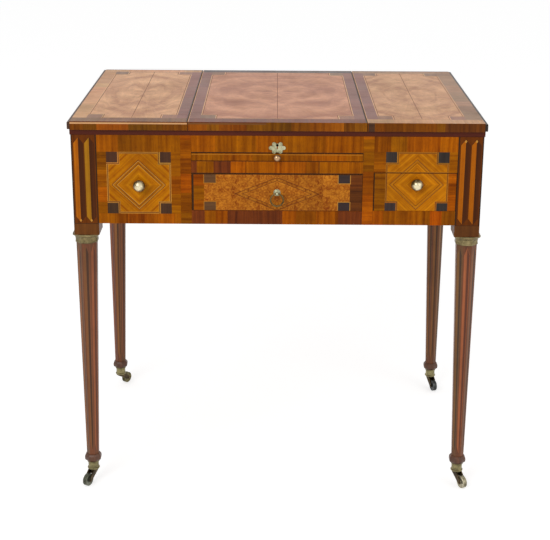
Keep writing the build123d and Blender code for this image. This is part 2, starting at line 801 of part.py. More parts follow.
ring_y = front_face - ring_standoff
with BuildPart() as ring_mount:
    shank_nut((0, front_face, ring_z))
    rod((0, front_face, ring_z), (0, -1, 0), rosette_radius, rosette_thickness)
    rod((0, front_face, ring_z), (0, -1, 0), eye_stem, ring_standoff)
    rod((-eye_length / 2, ring_y, ring_z), (1, 0, 0), eye_radius, eye_length)
    eye_hole = ring_wire_radius + ring_clearance
    rod((-eye_length / 2, ring_y, ring_z), (1, 0, 0), eye_hole, eye_length, Mode.SUBTRACT)
    rod((0, front_face, ring_z), (0, 1, 0), shank_radius, front_thickness + nut_thickness)
save(ring_mount, "ring_mount")

with BuildPart() as drawer_ring:
    with BuildSketch(Plane(origin=(0, ring_y, ring_z), x_dir=(0, 1, 0), z_dir=(1, 0, 0))):
        Circle(ring_wire_radius)
    revolve(axis=Axis((0, ring_y, ring_z - ring_radius), (0, 1, 0)))
save(drawer_ring, "drawer_ring")

# ---------------------------------------------------------------- writing slide
slide_x = centre_x - drawer_gap
slide_z = (slide_bottom + slide_gap, slide_top - slide_gap)
slide_rear = back_in - slide_rear_gap
leather_x = slide_x - leather_side_margin
leather_y = (front_face + leather_front_margin, slide_rear - leather_rear_margin)
with BuildPart() as slide_board:
    board(-slide_x, slide_x, front_face, slide_rear, *slide_z)
    board(-leather_x, leather_x, *leather_y, slide_z[1] - leather_thickness, slide_z[1], Mode.SUBTRACT)
    hole = shank_radius + shank_clearance
    rod(slide_knob_place, (0, 1, 0), hole, slide_knob_shank, Mode.SUBTRACT)
save(slide_board, "slide_board")

with BuildPart() as slide_leather:
    board(-leather_x, leather_x, *leather_y, slide_z[1] - leather_thickness, slide_z[1])
save(slide_leather, "slide_leather")


# ---------------------------------------------------------------- drawers
def make_drawer(label, x0, x1, z0, z1, rear_gap, handle_place):
    """Front, sides with back, and bottom, of a drawer filling an opening less its gap."""
    left, right = x0 + drawer_gap, x1 - drawer_gap
    low, high = z0 + drawer_gap, z1 - drawer_gap
    rear = back_in - rear_gap
    side_high = high - drawer_side_drop
    bottom_z = (low + drawer_bottom_lift, low + drawer_bottom_lift + drawer_bottom_thickness)
    groove_x = (left + drawer_side_thickness - drawer_groove, right - drawer_side_thickness + drawer_groove)
    with BuildPart() as front:
        board(left, right, front_face, rail_back, low, high)
        board(*groove_x, rail_back - drawer_groove, rail_back, *bottom_z, Mode.SUBTRACT)
        rod(handle_place, (0, 1, 0), shank_radius + shank_clearance, front_thickness, Mode.SUBTRACT)
    save(front, f"{label}_front")

    with BuildPart() as box:
        board(left, left + drawer_side_thickness, rail_back, rear, low, side_high)
        board(right - drawer_side_thickness, right, rail_back, rear, low, side_high)
        board(*groove_x, rail_back, rear, *bottom_z, Mode.SUBTRACT)
        inner = (left + drawer_side_thickness, right - drawer_side_thickness)
        board(*inner, rear - drawer_back_thickness, rear, bottom_z[1], side_high)
    save(box, f"{label}_box")

    with BuildPart() as bottom:
        board(*groove_x, rail_back - drawer_groove, rear, *bottom_z)
    save(bottom, f"{label}_bottom")


centre_heights = (centre_drawer_bottom, centre_drawer_top)
ring_place = (0, front_face, ring_z)
make_drawer("centre_drawer", -centre_x, centre_x, *centre_heights, centre_drawer_rear_gap, ring_place)
right_heights = (right_drawer_bottom, right_drawer_top)
make_drawer("right_drawer", partition_x, post_in, *right_heights, right_drawer_rear_gap, right_knob_place)
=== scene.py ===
import math
import random

import bmesh
import bpy
from mathutils import Matrix, Vector


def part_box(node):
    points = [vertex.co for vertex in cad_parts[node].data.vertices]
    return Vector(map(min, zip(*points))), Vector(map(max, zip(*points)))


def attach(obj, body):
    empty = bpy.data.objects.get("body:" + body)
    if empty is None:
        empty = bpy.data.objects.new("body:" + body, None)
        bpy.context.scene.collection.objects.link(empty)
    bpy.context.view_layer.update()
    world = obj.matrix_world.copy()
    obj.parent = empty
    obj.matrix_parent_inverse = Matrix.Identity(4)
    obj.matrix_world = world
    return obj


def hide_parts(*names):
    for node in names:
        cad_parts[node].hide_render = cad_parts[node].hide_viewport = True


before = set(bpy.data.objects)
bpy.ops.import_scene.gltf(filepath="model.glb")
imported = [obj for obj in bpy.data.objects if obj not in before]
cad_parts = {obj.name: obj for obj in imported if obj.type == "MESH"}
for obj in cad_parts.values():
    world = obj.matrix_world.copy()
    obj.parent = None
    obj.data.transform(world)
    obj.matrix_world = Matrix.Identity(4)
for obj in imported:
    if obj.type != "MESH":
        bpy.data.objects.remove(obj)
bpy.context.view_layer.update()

# Modelling is done in millimetres, in the frame's own axes, and each finished mesh is brought to metres.
MM = 0.001
X, Y, Z = Vector((1, 0, 0)), Vector((0, 1, 0)), Vector((0, 0, 1))


# ---------------------------------------------------------------- colours
def tint(red, green, blue):
    """A colour written as the eye sees it, from 0 to 255, as the linear colour that a shader wants."""
    def linear(value):
        share = value / 255
        return share / 12.92 if share <= 0.04045 else ((share + 0.055) / 1.055) ** 2.4
    return (linear(red), linear(green), linear(blue), 1.0)


# ---------------------------------------------------------------- shader helpers
class Graph:
    """Short calls for wiring one node tree. A value may be a socket or a constant."""

    def __init__(self, tree):
        self.tree = tree

    def add(self, kind, **settings):
        node = self.tree.nodes.new(kind)
        for name, value in settings.items():
            setattr(node, name, value)
        return node

    def put(self, socket, value):
        if isinstance(value, bpy.types.NodeSocket):
            self.tree.links.new(value, socket)
        elif value is not None:
            socket.default_value = value

    def place(self):
        """A point's place on the table, in metres."""
        return self.add("ShaderNodeTexCoord").outputs["Object"]

    def math(self, operation, first, second=None, third=None, clamp=False):
        node = self.add("ShaderNodeMath", operation=operation, use_clamp=clamp)
        for socket, value in zip(node.inputs, (first, second, third)):
            self.put(socket, value)
        return node.outputs[0]

    def swing(self, noise, amount, onto, clamp=False):
        """Adds to a value how far a noise swings from its middle."""
        return self.math("MULTIPLY_ADD", self.math("SUBTRACT", noise, 0.5), amount, onto, clamp)

    def vector(self, operation, first, second=None):
        node = self.add("ShaderNodeVectorMath", operation=operation)
        self.put(node.inputs[0], first)
        self.put(node.inputs[1], second)
        return node.outputs["Value" if operation == "LENGTH" else "Vector"]

    def split(self, vector):
        node = self.add("ShaderNodeSeparateXYZ")
        self.put(node.inputs[0], vector)
        return node.outputs[:3]

    def join(self, x, y, z):
        node = self.add("ShaderNodeCombineXYZ")
        for socket, value in zip(node.inputs, (x, y, z)):
            self.put(socket, value)
        return node.outputs[0]

    def noise(self, vector, scale=1.0, detail=2.0, roughness=0.5, distortion=0.0):
        node = self.add("ShaderNodeTexNoise")
        self.put(node.inputs["Vector"], vector)
        for name, value in (("Scale", scale), ("Detail", detail), ("Roughness", roughness),
                            ("Distortion", distortion)):
            node.inputs[name].default_value = value
        return node.outputs["Fac"]

    def remap(self, value, low, high, to_low=0.0, to_high=1.0):
        node = self.add("ShaderNodeMapRange")
        for socket, setting in zip(node.inputs, (value, low, high, to_low, to_high)):
            self.put(socket, setting)
        return node.outputs[0]

    def mix(self, share, first, second):
        node = self.add("ShaderNodeMix", data_type="RGBA", clamp_result=True)
        self.put(node.inputs["Factor"], share)
        self.put(node.inputs[6], first)
        self.put(node.inputs[7], second)
        return node.outputs[2]

    def bump(self, height, strength, distance):
        node = self.add("ShaderNodeBump")
        self.put(node.inputs["Height"], height)
        node.inputs["Strength"].default_value = strength
        node.inputs["Distance"].default_value = distance
        return node.outputs["Normal"]

    def use(self, group, **values):
        node = self.add("ShaderNodeGroup", node_tree=group)
        for name, value in values.items():
            self.put(node.inputs[name], value)
        return node.outputs


SURFACE = [("Color", "Color"), ("Rough", "Float"), ("Height", "Float")]


def new_group(name, inputs, outputs):
    """A node group with named sockets; returns it, its wiring helper and its input sockets."""
    group = bpy.data.node_groups.new(name, "ShaderNodeTree")
    for way, sockets in (("INPUT", inputs), ("OUTPUT", outputs)):
        for label, kind in sockets:
            group.interface.new_socket(label, in_out=way, socket_type="NodeSocket" + kind)
    graph = Graph(group)
    return group, graph, graph.add("NodeGroupInput").outputs


def close_group(graph, **values):
    end = graph.add("NodeGroupOutput")
    for name, value in values.items():
        graph.put(end.inputs[name], value)


PORE_BROWN = (0.02, 0.008, 0.003, 1.0)


def make_wood_figure():
    """Grain of one wood: wavy ribbons, fine fibres, curl across them, burr flecks and open pores."""
    inputs = [("Grain", "Vector"), ("Pale", "Color"), ("Deep", "Color")]
    inputs += [(label, "Float") for label in ("Ribbon", "Contrast", "Curl", "Burr", "Pores", "Tone", "Hue")]
    group, g, given = new_group("wood_figure", inputs, SURFACE)
    sway = g.noise(g.vector("MULTIPLY", given["Grain"], (9.0, 26.0, 9.0)))
    along, across, depth = g.split(given["Grain"])
    across = g.swing(sway, 0.007, across)

    def streaks(per_metre_along, per_metre_across, **settings):
        u, v = g.math("MULTIPLY", along, per_metre_along), g.math("MULTIPLY", across, per_metre_across)
        return g.noise(g.join(u, v, depth), **settings)
    ribbon = streaks(4.0, given["Ribbon"], detail=4.0, roughness=0.6)
    fibre = streaks(28.0, 1300.0, roughness=0.7)
    curl = streaks(75.0, 30.0, detail=1.0)
    pores = g.remap(streaks(130.0, 2100.0, detail=0.0), 0.66, 0.78)
    burr = g.noise(given["Grain"], scale=150.0, detail=3.0, roughness=0.65, distortion=1.6)
    value = g.swing(ribbon, given["Contrast"], 0.5)
    value = g.swing(fibre, 0.45, value)
    value = g.swing(burr, given["Burr"], value)
    value = g.swing(curl, given["Curl"], value, clamp=True)
    color = g.mix(value, given["Deep"], given["Pale"])
    color = g.mix(g.math("MULTIPLY", pores, given["Pores"]), color, PORE_BROWN)
    lift = g.math("MULTIPLY_ADD", given["Tone"], 0.5, 1.0)
    red = g.math("MULTIPLY", lift, g.math("MULTIPLY_ADD", given["Hue"], 0.16, 1.0))
    green = g.math("MULTIPLY", lift, g.math("MULTIPLY_ADD", given["Hue"], -0.2, 1.0))
    color = g.vector("MULTIPLY", color, g.join(red, green, lift))
    rough = g.math("MULTIPLY", g.math("SUBTRACT", fibre, 0.5), 0.12)
    height = g.math("SUBTRACT", fibre, g.math("MULTIPLY", pores, 0.9))
    close_group(g, Color=color, Rough=rough, Height=height)
    return group


def make_handling_wear():
    """Two centuries of polish and handling: soft grime clouds, dark specks and fine scratches."""
    inputs = [("Color", "Color"), ("Grime", "Color"), ("Amount", "Float")]
    group, g, given = new_group("handling_wear", inputs, SURFACE)
    place = g.place()
    cloud = g.noise(place, scale=11.0, detail=5.0, roughness=0.6)
    speck = g.noise(place, scale=170.0, detail=3.0, roughness=0.7)
    stain = g.math("MULTIPLY", g.remap(cloud, 0.46, 0.74), given["Amount"])
    spots = g.math("MULTIPLY", g.remap(speck, 0.66, 0.76), given["Amount"])
    color = g.mix(g.math("MULTIPLY", stain, 0.75), given["Color"], given["Grime"])
    color = g.mix(g.math("MULTIPLY", spots, 0.5), color, given["Grime"])
    scratch_at = g.vector("MULTIPLY", place, (30.0, 460.0, 460.0))
    scratch = g.remap(g.noise(scratch_at, detail=1.0, distortion=0.6), 0.7, 0.74)
    rough = g.math("ADD", g.math("MULTIPLY", stain, 0.2), g.math("MULTIPLY", scratch, 0.15))
    close_group(g, Color=color, Rough=rough, Height=g.math("MULTIPLY", scratch, -0.6))
    return group


def make_oval_figure():
    """Grain coordinates that run round a leaf in broken ovals, and differ from leaf to leaf."""
    inputs = [("Place", "Vector"), ("Leaf", "Float")]
    group, g, given = new_group("oval_figure", inputs, [("Grain", "Vector")])
    leaf = g.math("MULTIPLY", given["Leaf"], 40.0)
    u, v, _ = g.split(given["Place"])
    wobble = g.noise(g.join(u, v, leaf), scale=2.0, detail=3.0)
    radius = g.swing(wobble, 0.35, g.vector("LENGTH", g.join(g.math("MULTIPLY", u, 0.6), v, 0.0)))
    turn = g.math("ARCTAN2", v, u)
    grain = g.join(g.math("MULTIPLY", turn, 0.3), g.math("MULTIPLY", radius, 0.11), leaf)
    close_group(g, Grain=grain)
    return group


def make_metal_patina():
    """Old metal: dull and stained in broad clouds, with pits; the input for wear and highlight brightens it
    where handling wears it and where a highlight is painted, and dulls it where shade is painted.
    """
    inputs = [("Bright", "Color"), ("Dull", "Color"), ("Spread", "Float"), ("Rub", "Float")]
    group, g, given = new_group("metal_patina", inputs, SURFACE)
    place = g.place()
    cloud = g.noise(place, scale=95.0, detail=5.0, roughness=0.65)
    pit = g.noise(place, scale=900.0)
    spread = g.math("MULTIPLY_ADD", given["Rub"], -0.9, g.math("SUBTRACT", given["Spread"], 0.5))
    dull = g.math("ADD", g.remap(cloud, 0.3, 0.68), spread, clamp=True)
    color = g.mix(dull, given["Bright"], given["Dull"])
    color = g.mix(g.math("MULTIPLY", g.remap(pit, 0.6, 0.75), 0.5), color, given["Dull"])
    rough = g.math("MULTIPLY_ADD", dull, 0.3, 0.2)
    close_group(g, Color=color, Rough=rough, Height=g.math("SUBTRACT", cloud, g.math("MULTIPLY", pit, 0.3)))
    return group


WOOD_FIGURE = make_wood_figure()
HANDLING_WEAR = make_handling_wear()
OVAL_FIGURE = make_oval_figure()
METAL_PATINA = make_metal_patina()


# ---------------------------------------------------------------- woods, metals and leather
# pale and deep colour, ribbons per metre, ribbon contrast, curl, pores, gloss, specular and wear
WOODS = {
    "tulipwood": ((216, 138, 8), (154, 76, 0), 150, 2.4, 0.5, 0.4, 0.36, 0.07, 0.3),
    "bright_tulipwood": ((218, 136, 12), (158, 82, 0), 150, 3.0, 0.5, 0.3, 0.36, 0.07, 0.25),
    "tulipwood_band": ((184, 100, 4), (118, 52, 0), 130, 2.2, 0.3, 0.5, 0.38, 0.06, 0.4),
    "edge_band": ((156, 88, 12), (106, 52, 4), 130, 2.2, 0.3, 0.5, 0.38, 0.08, 0.4),
    "burr_walnut": ((204, 126, 34), (134, 60, 8), 50, 1.6, 0.8, 0.4, 0.34, 0.08, 0.35),
    "kingwood": ((132, 62, 18), (80, 32, 8), 170, 2.2, 0.2, 0.4, 0.36, 0.1, 0.3),
    "amaranth": ((92, 58, 34), (52, 30, 20), 160, 1.6, 0.2, 0.3, 0.4, 0.14, 0.2),
    "ebonised": ((66, 54, 50), (38, 30, 28), 160, 1.6, 0.2, 0.3, 0.4, 0.14, 0.2),
    "brown_square": ((112, 80, 44), (84, 56, 30), 160, 1.6, 0.2, 0.3, 0.4, 0.14, 0.3),
    "boxwood": ((216, 156, 66), (178, 114, 36), 200, 1.0, 0.1, 0.1, 0.36, 0.14, 0.4),
    "faded_boxwood": ((198, 130, 34), (160, 92, 14), 200, 1.0, 0.1, 0.1, 0.36, 0.14, 0.4),
    "rosewood_line": ((120, 56, 10), (74, 32, 4), 200, 1.0, 0.1, 0.1, 0.4, 0.14, 0.1),
    "ebony_line": ((60, 32, 8), (32, 16, 4), 200, 1.0, 0.1, 0.1, 0.4, 0.14, 0.1),
    "flute_bright": ((198, 112, 16), (152, 74, 4), 220, 1.8, 0.2, 0.2, 0.34, 0.08, 0.35),
    "flute_olive": ((190, 132, 30), (150, 96, 14), 220, 1.8, 0.2, 0.2, 0.34, 0.08, 0.35),
    "flute_shade": ((92, 44, 12), (52, 24, 4), 220, 1.6, 0.1, 0.2, 0.38, 0.1, 0.2),
    "post_ground": ((124, 62, 10), (80, 36, 4), 170, 1.8, 0.2, 0.3, 0.36, 0.08, 0.35),
    "leg_ground": ((134, 82, 48), (92, 52, 28), 190, 1.8, 0.2, 0.4, 0.36, 0.3, 0.4),
    "leg_bright": ((164, 102, 56), (122, 70, 34), 220, 1.6, 0.2, 0.2, 0.34, 0.3, 0.4),
    "leg_shade": ((98, 58, 34), (66, 36, 18), 220, 1.4, 0.1, 0.2, 0.38, 0.3, 0.3),
    "toe_ring_wood": ((112, 70, 46), (68, 40, 26), 190, 1.8, 0.2, 0.4, 0.34, 0.4, 0.5),
    "block_brown": ((122, 70, 22), (84, 44, 8), 150, 1.6, 0.2, 0.3, 0.38, 0.14, 0.4),
    "moulding_dark": ((98, 40, 22), (60, 20, 10), 160, 1.4, 0.1, 0.2, 0.42, 0.14, 0.3),
    "lipping_brown": ((86, 56, 40), (50, 30, 20), 160, 1.4, 0.1, 0.2, 0.42, 0.2, 0.3),
    "lipping_black": ((50, 36, 26), (26, 17, 12), 160, 1.4, 0.1, 0.2, 0.4, 0.25, 0.3),
    "top_field": ((230, 172, 118), (176, 112, 64), 45, 3.0, 0.5, 0.4, 0.36, 0.2, 0.4),
    "top_border": ((152, 94, 76), (112, 64, 50), 160, 1.8, 0.2, 0.3, 0.36, 0.2, 0.4),
    "top_pale_border": ((222, 164, 108), (176, 118, 72), 150, 1.8, 0.2, 0.3, 0.36, 0.2, 0.5),
    "top_grey_border": ((178, 132, 92), (134, 92, 60), 150, 1.8, 0.2, 0.3, 0.36, 0.2, 0.5),
    "top_brown_border": ((138, 88, 38), (96, 54, 18), 150, 1.8, 0.2, 0.3, 0.36, 0.2, 0.5),
    "top_pink_border": ((128, 60, 20), (88, 34, 8), 150, 1.8, 0.2, 0.3, 0.36, 0.2, 0.5),
    "top_back_border": ((100, 82, 76), (68, 54, 50), 150, 1.8, 0.2, 0.3, 0.36, 0.2, 0.5),
    "top_square": ((162, 112, 78), (128, 84, 56), 110, 2.0, 0.4, 0.3, 0.36, 0.2, 0.5),
    "top_string": ((236, 184, 130), (204, 146, 94), 200, 1.0, 0.1, 0.1, 0.36, 0.2, 0.4),
    "top_line": ((140, 86, 62), (110, 66, 48), 200, 1.0, 0.1, 0.1, 0.5, 0.05, 0.1),
    "side_veneer": ((192, 118, 16), (132, 68, 2), 110, 2.2, 0.7, 0.4, 0.36, 0.14, 0.4),
    "inside_veneer": ((176, 112, 52), (132, 76, 30), 110, 1.6, 0.3, 0.4, 0.45, 0.3, 0.3),
    "oak": ((176, 128, 72), (130, 86, 42), 140, 1.8, 0.3, 0.8, 0.6, 0.3, 0.5),
    "pine": ((196, 148, 88), (154, 104, 54), 110, 1.8, 0.1, 0.2, 0.65, 0.3, 0.5),
}
# strength of the burr, the woods whose figure runs in ovals, and the colour of grime
BURRED = {"burr_walnut": 2.6}
OVAL_LEAVES = ("top_field",)
GRIME = tint(48, 26, 10)
# bright and dull colour, how far the dull part has spread, and strength of the relief
METALS = {
    # for the knobs the bright colour is also the crown's painted highlight, and the dull one the painted shade
    # at rim and neck
    "brass_knob": ((232, 218, 180), (86, 68, 32), 0.72, 0.4),
    "brass_slide_knob": ((186, 150, 112), (112, 84, 58), 0.6, 0.4),
    "brass_rosette": ((190, 190, 158), (112, 108, 74), 0.4, 0.4),
    "brass_escutcheon": ((204, 200, 164), (110, 104, 66), 0.45, 0.4),
    "brass_ring": ((128, 104, 60), (70, 52, 26), 0.55, 0.4),
    "brass_tarnished": ((148, 132, 92), (88, 78, 50), 0.5, 0.4),
    "brass_socket": ((158, 148, 104), (92, 84, 60), 0.5, 0.4),
    "brass_fork": ((100, 82, 50), (44, 34, 20), 0.55, 0.4),
    "wheel_grey": ((132, 134, 116), (64, 66, 52), 0.5, 0.4),
    "wheel_pale": ((204, 196, 168), (120, 112, 90), 0.45, 0.4),
    "wheel_olive": ((132, 122, 78), (62, 56, 36), 0.55, 0.4),
    "wheel_slate": ((104, 106, 104), (44, 46, 46), 0.55, 0.4),
    "brass_dark": ((120, 98, 56), (58, 46, 28), 0.6, 0.4),
    "lock_steel": ((150, 146, 140), (72, 64, 56), 0.5, 0.4),
    "gilt_tooling": ((220, 176, 84), (128, 100, 44), 0.4, 0.1),
}


def axis_grain(g, axis):
    """Grain coordinates along one axis of the table."""
    x, y, z = g.split(g.place())
    along, across, depth = {"x": (x, y, z), "y": (y, x, z), "z": (z, x, y)}[axis]
    return g.join(along, g.math("ADD", across, depth), depth)


def new_material(label):
    """A material with nodes; returns it, its wiring helper and its surface shader."""
    material = bpy.data.materials.new(label)
    material.use_nodes = True
    return material, Graph(material.node_tree), material.node_tree.nodes["Principled BSDF"]


def wood(name, grain="uv"):
    """Material of a wood. Its grain follows the piece's own grain map, or one axis of the table."""
    label = f"{name}_{grain}"
    found = bpy.data.materials.get(label)
    if found:
        return found
    pale, deep, ribbon, contrast, curl, pores, gloss, specular, wear = WOODS[name]
    material, g, shader = new_material(label)
    tone, hue = 0.0, 0.0
    if grain == "uv":
        coords = g.add("ShaderNodeUVMap", uv_map="grain").outputs[0]
        tone, hue, _ = g.split(g.add("ShaderNodeUVMap", uv_map="tone").outputs[0])
        if name in OVAL_LEAVES:
            coords = g.use(OVAL_FIGURE, Place=coords, Leaf=tone)["Grain"]
    else:
        coords = axis_grain(g, grain)
    figure = g.use(WOOD_FIGURE, Grain=coords, Pale=tint(*pale), Deep=tint(*deep), Ribbon=float(ribbon),
                   Contrast=contrast, Curl=curl, Burr=BURRED.get(name, 0.0), Pores=pores, Tone=tone, Hue=hue)
    worn = g.use(HANDLING_WEAR, Color=figure["Color"], Grime=GRIME, Amount=wear)
    rough = g.math("ADD", g.math("ADD", figure["Rough"], worn["Rough"]), gloss, clamp=True)
    height = g.math("ADD", figure["Height"], worn["Height"])
    g.put(shader.inputs["Base Color"], worn["Color"])
    g.put(shader.inputs["Roughness"], rough)
    g.put(shader.inputs["Normal"], g.bump(height, 0.25, 0.0002))
    shader.inputs["Specular IOR Level"].default_value = specular
    return material


def metal(label):
    """Material of an old metal fitting; an attribute of the piece carries its handling wear and its painted
    highlight and shade.
    """
    found = bpy.data.materials.get(label)
    if found:
        return found
    bright, dull, spread, relief = METALS[label]
    material, g, shader = new_material(label)
    rub_and_highlight = g.add("ShaderNodeAttribute", attribute_name="rub_and_highlight").outputs["Fac"]
    patina = g.use(METAL_PATINA, Bright=tint(*bright), Dull=tint(*dull), Spread=spread, Rub=rub_and_highlight)
    g.put(shader.inputs["Base Color"], patina["Color"])
    g.put(shader.inputs["Roughness"], patina["Rough"])
    g.put(shader.inputs["Normal"], g.bump(patina["Height"], relief, 0.0003))
    shader.inputs["Metallic"].default_value = 0.85
    return material


def make_mirror_silvering():
    """Old looking glass: clear silvering with grey foxing that creeps in."""
    material, g, shader = new_material("mirror_silvering")
    place = g.place()
    cloud = g.noise(place, scale=14.0, detail=6.0, roughness=0.7)
    speck = g.noise(place, scale=140.0, detail=3.0, roughness=0.7)
    foxing = g.math("MULTIPLY", g.remap(cloud, 0.54, 0.7), g.remap(speck, 0.44, 0.62))
    g.put(shader.inputs["Base Color"], g.mix(foxing, tint(222, 224, 220), tint(92, 86, 74)))
    g.put(shader.inputs["Roughness"], g.math("MULTIPLY_ADD", foxing, 0.4, 0.03))
    shader.inputs["Metallic"].default_value = 1.0
    return material


def make_leather():
    """Old green skiver: fine grain pattern, worn lighter in places."""
    pale, deep = tint(70, 78, 42), tint(40, 48, 26)
    material, g, shader = new_material("green_leather")
    place = g.place()
    cell = g.add("ShaderNodeTexVoronoi", feature="SMOOTH_F1")
    g.put(cell.inputs["Vector"], place)
    cell.inputs["Scale"].default_value = 900.0
    grain = cell.outputs["Distance"]
    cloud = g.noise(place, scale=16.0, detail=5.0, roughness=0.65)
    color = g.mix(g.remap(cloud, 0.35, 0.7), deep, pale)
    g.put(shader.inputs["Base Color"], g.mix(g.math("MULTIPLY", grain, 0.5), color, deep))
    g.put(shader.inputs["Roughness"], g.remap(cloud, 0.3, 0.7, 0.62, 0.45))
    g.put(shader.inputs["Normal"], g.bump(grain, 0.5, 0.0002))
    return material


# ---------------------------------------------------------------- sides and veneers
# directions of the grain on a side, and how near two faces must be to lie on one side
ALONG_ACROSS, ALONG_UP = 0.0, math.pi / 2
SAME_WAY, SAME_PLANE = 0.9999, 0.02


class Side:
    """A flat side: its own two directions, and coordinates in mm measured from the table's axes."""

    def __init__(self, origin, across, up):
        self.origin = Vector(origin)
        self.across = Vector(across).normalized()
        self.up = Vector(up).normalized()
        self.out = self.across.cross(self.up)

    def point(self, a, b):
        return self.origin + self.across * a + self.up * b

    def local(self, point):
        offset = point - self.origin
        return offset.dot(self.across), offset.dot(self.up)


def box_sides(low, high):
    """The six sides of a box, each looked at from outside, by name."""
    return {
        "front": Side((0, low.y, 0), X, Z), "back": Side((0, high.y, 0), -X, Z),
        "left": Side((low.x, 0, 0), -Y, Z), "right": Side((high.x, 0, 0), Y, Z),
        "top": Side((0, 0, high.z), X, Y), "bottom": Side((0, 0, low.z), -X, Y),
    }


def rectangle(a0, a1, b0, b1):
    return [(a0, b0), (a1, b0), (a1, b1), (a0, b1)]


def lozenge(a, b, half_a, half_b):
    return [(a - half_a, b), (a, b - half_b), (a + half_a, b), (a, b + half_b)]


def apart(first, second):
    """True if an edge of the first outline has all of the second outline on its outer side."""
    for (ax, ay), (bx, by) in zip(first, first[1:] + first[:1]):
        if all((bx - ax) * (y - ay) - (by - ay) * (x - ax) <= 0.02 for x, y in second):
            return True
    return False


class Work:
    """A piece in the making: its mesh, and the veneers that lie on it."""

    def __init__(self, name, low, high, base, grain_turn=0.0):
        self.name = name
        self.bm = bmesh.new()
        self.low, self.high = Vector(low), Vector(high)
        bmesh.ops.create_cube(self.bm, size=1.0)
        bmesh.ops.scale(self.bm, vec=self.high - self.low, verts=self.bm.verts)
        bmesh.ops.translate(self.bm, vec=(self.low + self.high) / 2, verts=self.bm.verts)
        self.tag = self.bm.faces.layers.int.new("veneer")
        self.random = random.Random(name)
        self.sides = box_sides(self.low, self.high)
        self.veneers = []
        for side in self.sides.values():
            turn = grain_turn if self.is_wide(side) else ALONG_UP
            self.veneers.append(self.veneer(base, side, turn))
        for face in self.bm.faces:
            face[self.tag] = self.side_number(face.normal)

    def is_wide(self, side):
        size = self.high - self.low
        return abs(side.across.dot(size)) >= abs(side.up.dot(size))

    def side_number(self, normal):
        outs = [side.out for side in self.sides.values()]
        return max(range(len(outs)), key=lambda i: outs[i].dot(normal))

    def span_of(self, side):
        """Lowest and highest coordinate of the work along each direction of a side."""
        first, second = self.sides[side].local(self.low), self.sides[side].local(self.high)
        return sorted((first[0], second[0])), sorted((first[1], second[1]))

    def chance(self, tone, hue):
        """A tone and a hue drawn at random within limits, so that neighbours differ."""
        return dict(tone=self.random.uniform(-tone, tone), hue=self.random.uniform(-hue, hue))

    def veneer(self, wood_name, side, turn=0.0, centre=None, span=None, shift=None, tone=0.0, hue=0.0):
        shift = shift or (self.random.uniform(0, 3), self.random.uniform(0, 3))
        return dict(wood=wood_name, side=side, turn=turn, centre=centre, span=span, shift=shift, tone=tone,
                    hue=hue)

    def cut(self, side, outline):
        """Cuts a convex outline into a side and returns the faces inside it."""
        def flat(face):
            return [side.local(v.co) for v in face.verts]
        faces = [f for f in self.bm.faces if f.normal.dot(side.out) > SAME_WAY
                 and abs((f.verts[0].co - side.origin).dot(side.out)) < SAME_PLANE]
        faces = [f for f in faces if not apart(outline, flat(f)) and not apart(flat(f), outline)]
        for start, end in zip(outline, outline[1:] + outline[:1]):
            corner = side.point(*start)
            inward = side.out.cross(side.point(*end) - corner).normalized()
            edges, corners = {e for f in faces for e in f.edges}, {v for f in faces for v in f.verts}
            geometry = faces + list(edges) + list(corners)
            result = bmesh.ops.bisect_plane(self.bm, geom=geometry, dist=0.002, plane_co=corner,
                                            plane_no=inward)
            faces = [g for g in result["geom"] if isinstance(g, bmesh.types.BMFace)]
            faces = [f for f in faces if (f.calc_center_median() - corner).dot(inward) > 0]
        return faces

    def cover(self, faces, veneer):
        for face in faces:
            face[self.tag] = len(self.veneers)
        self.veneers.append(veneer)

    def lay(self, side, outline, wood_name, turn=0.0, **figure):
        """Lays a piece of veneer. A centre folds its grain about it, and a span stretches it to 0..1."""
        side = self.sides[side] if isinstance(side, str) else side
        faces = self.cut(side, outline)
        self.cover(faces, self.veneer(wood_name, side, turn, **figure))
        return faces

    def strip(self, side, a0, a1, b0, b1, wood_name, turn=0.0, **figure):
        self.lay(side, rectangle(a0, a1, b0, b1), wood_name, turn, **figure)

    def edge(self, side, where, width, wood_name, **figure):
        """Lays a strip along one edge of a side: its left, right, low or high edge."""
        (a0, a1), (b0, b1) = self.span_of(side)
        a0, a1 = {"left": (a0, a0 + width), "right": (a1 - width, a1)}.get(where, (a0, a1))
        b0, b1 = {"low": (b0, b0 + width), "high": (b1 - width, b1)}.get(where, (b0, b1))
        turn = ALONG_UP if where in ("left", "right") else ALONG_ACROSS
        self.strip(side, a0, a1, b0, b1, wood_name, turn, **figure)

    def sink(self, side, outline, depth, wood_name):
        """Cuts a recess of a depth into a side."""
        faces = self.lay(side, outline, wood_name)
        raised = bmesh.ops.extrude_face_region(self.bm, geom=faces)["geom"]
        corners = [g for g in raised if isinstance(g, bmesh.types.BMVert)]
        bmesh.ops.translate(self.bm, vec=self.sides[side].out * -depth, verts=corners)
        bmesh.ops.delete(self.bm, geom=faces, context="FACES")

    def grain_of(self, veneer, point):
        """Grain map and tone of a point on a veneer, in metres along and across the grain."""
        a, b = veneer["side"].local(point)
        if veneer["centre"]:
            a, b = abs(a - veneer["centre"][0]), b - veneer["centre"][1]
            if veneer["span"]:
                return a / veneer["span"][0], b / veneer["span"][1]
            b = abs(b)
        turn = veneer["turn"]
        along = a * math.cos(turn) + b * math.sin(turn)
        across = b * math.cos(turn) - a * math.sin(turn)
        return along * MM + veneer["shift"][0], across * MM + veneer["shift"][1]

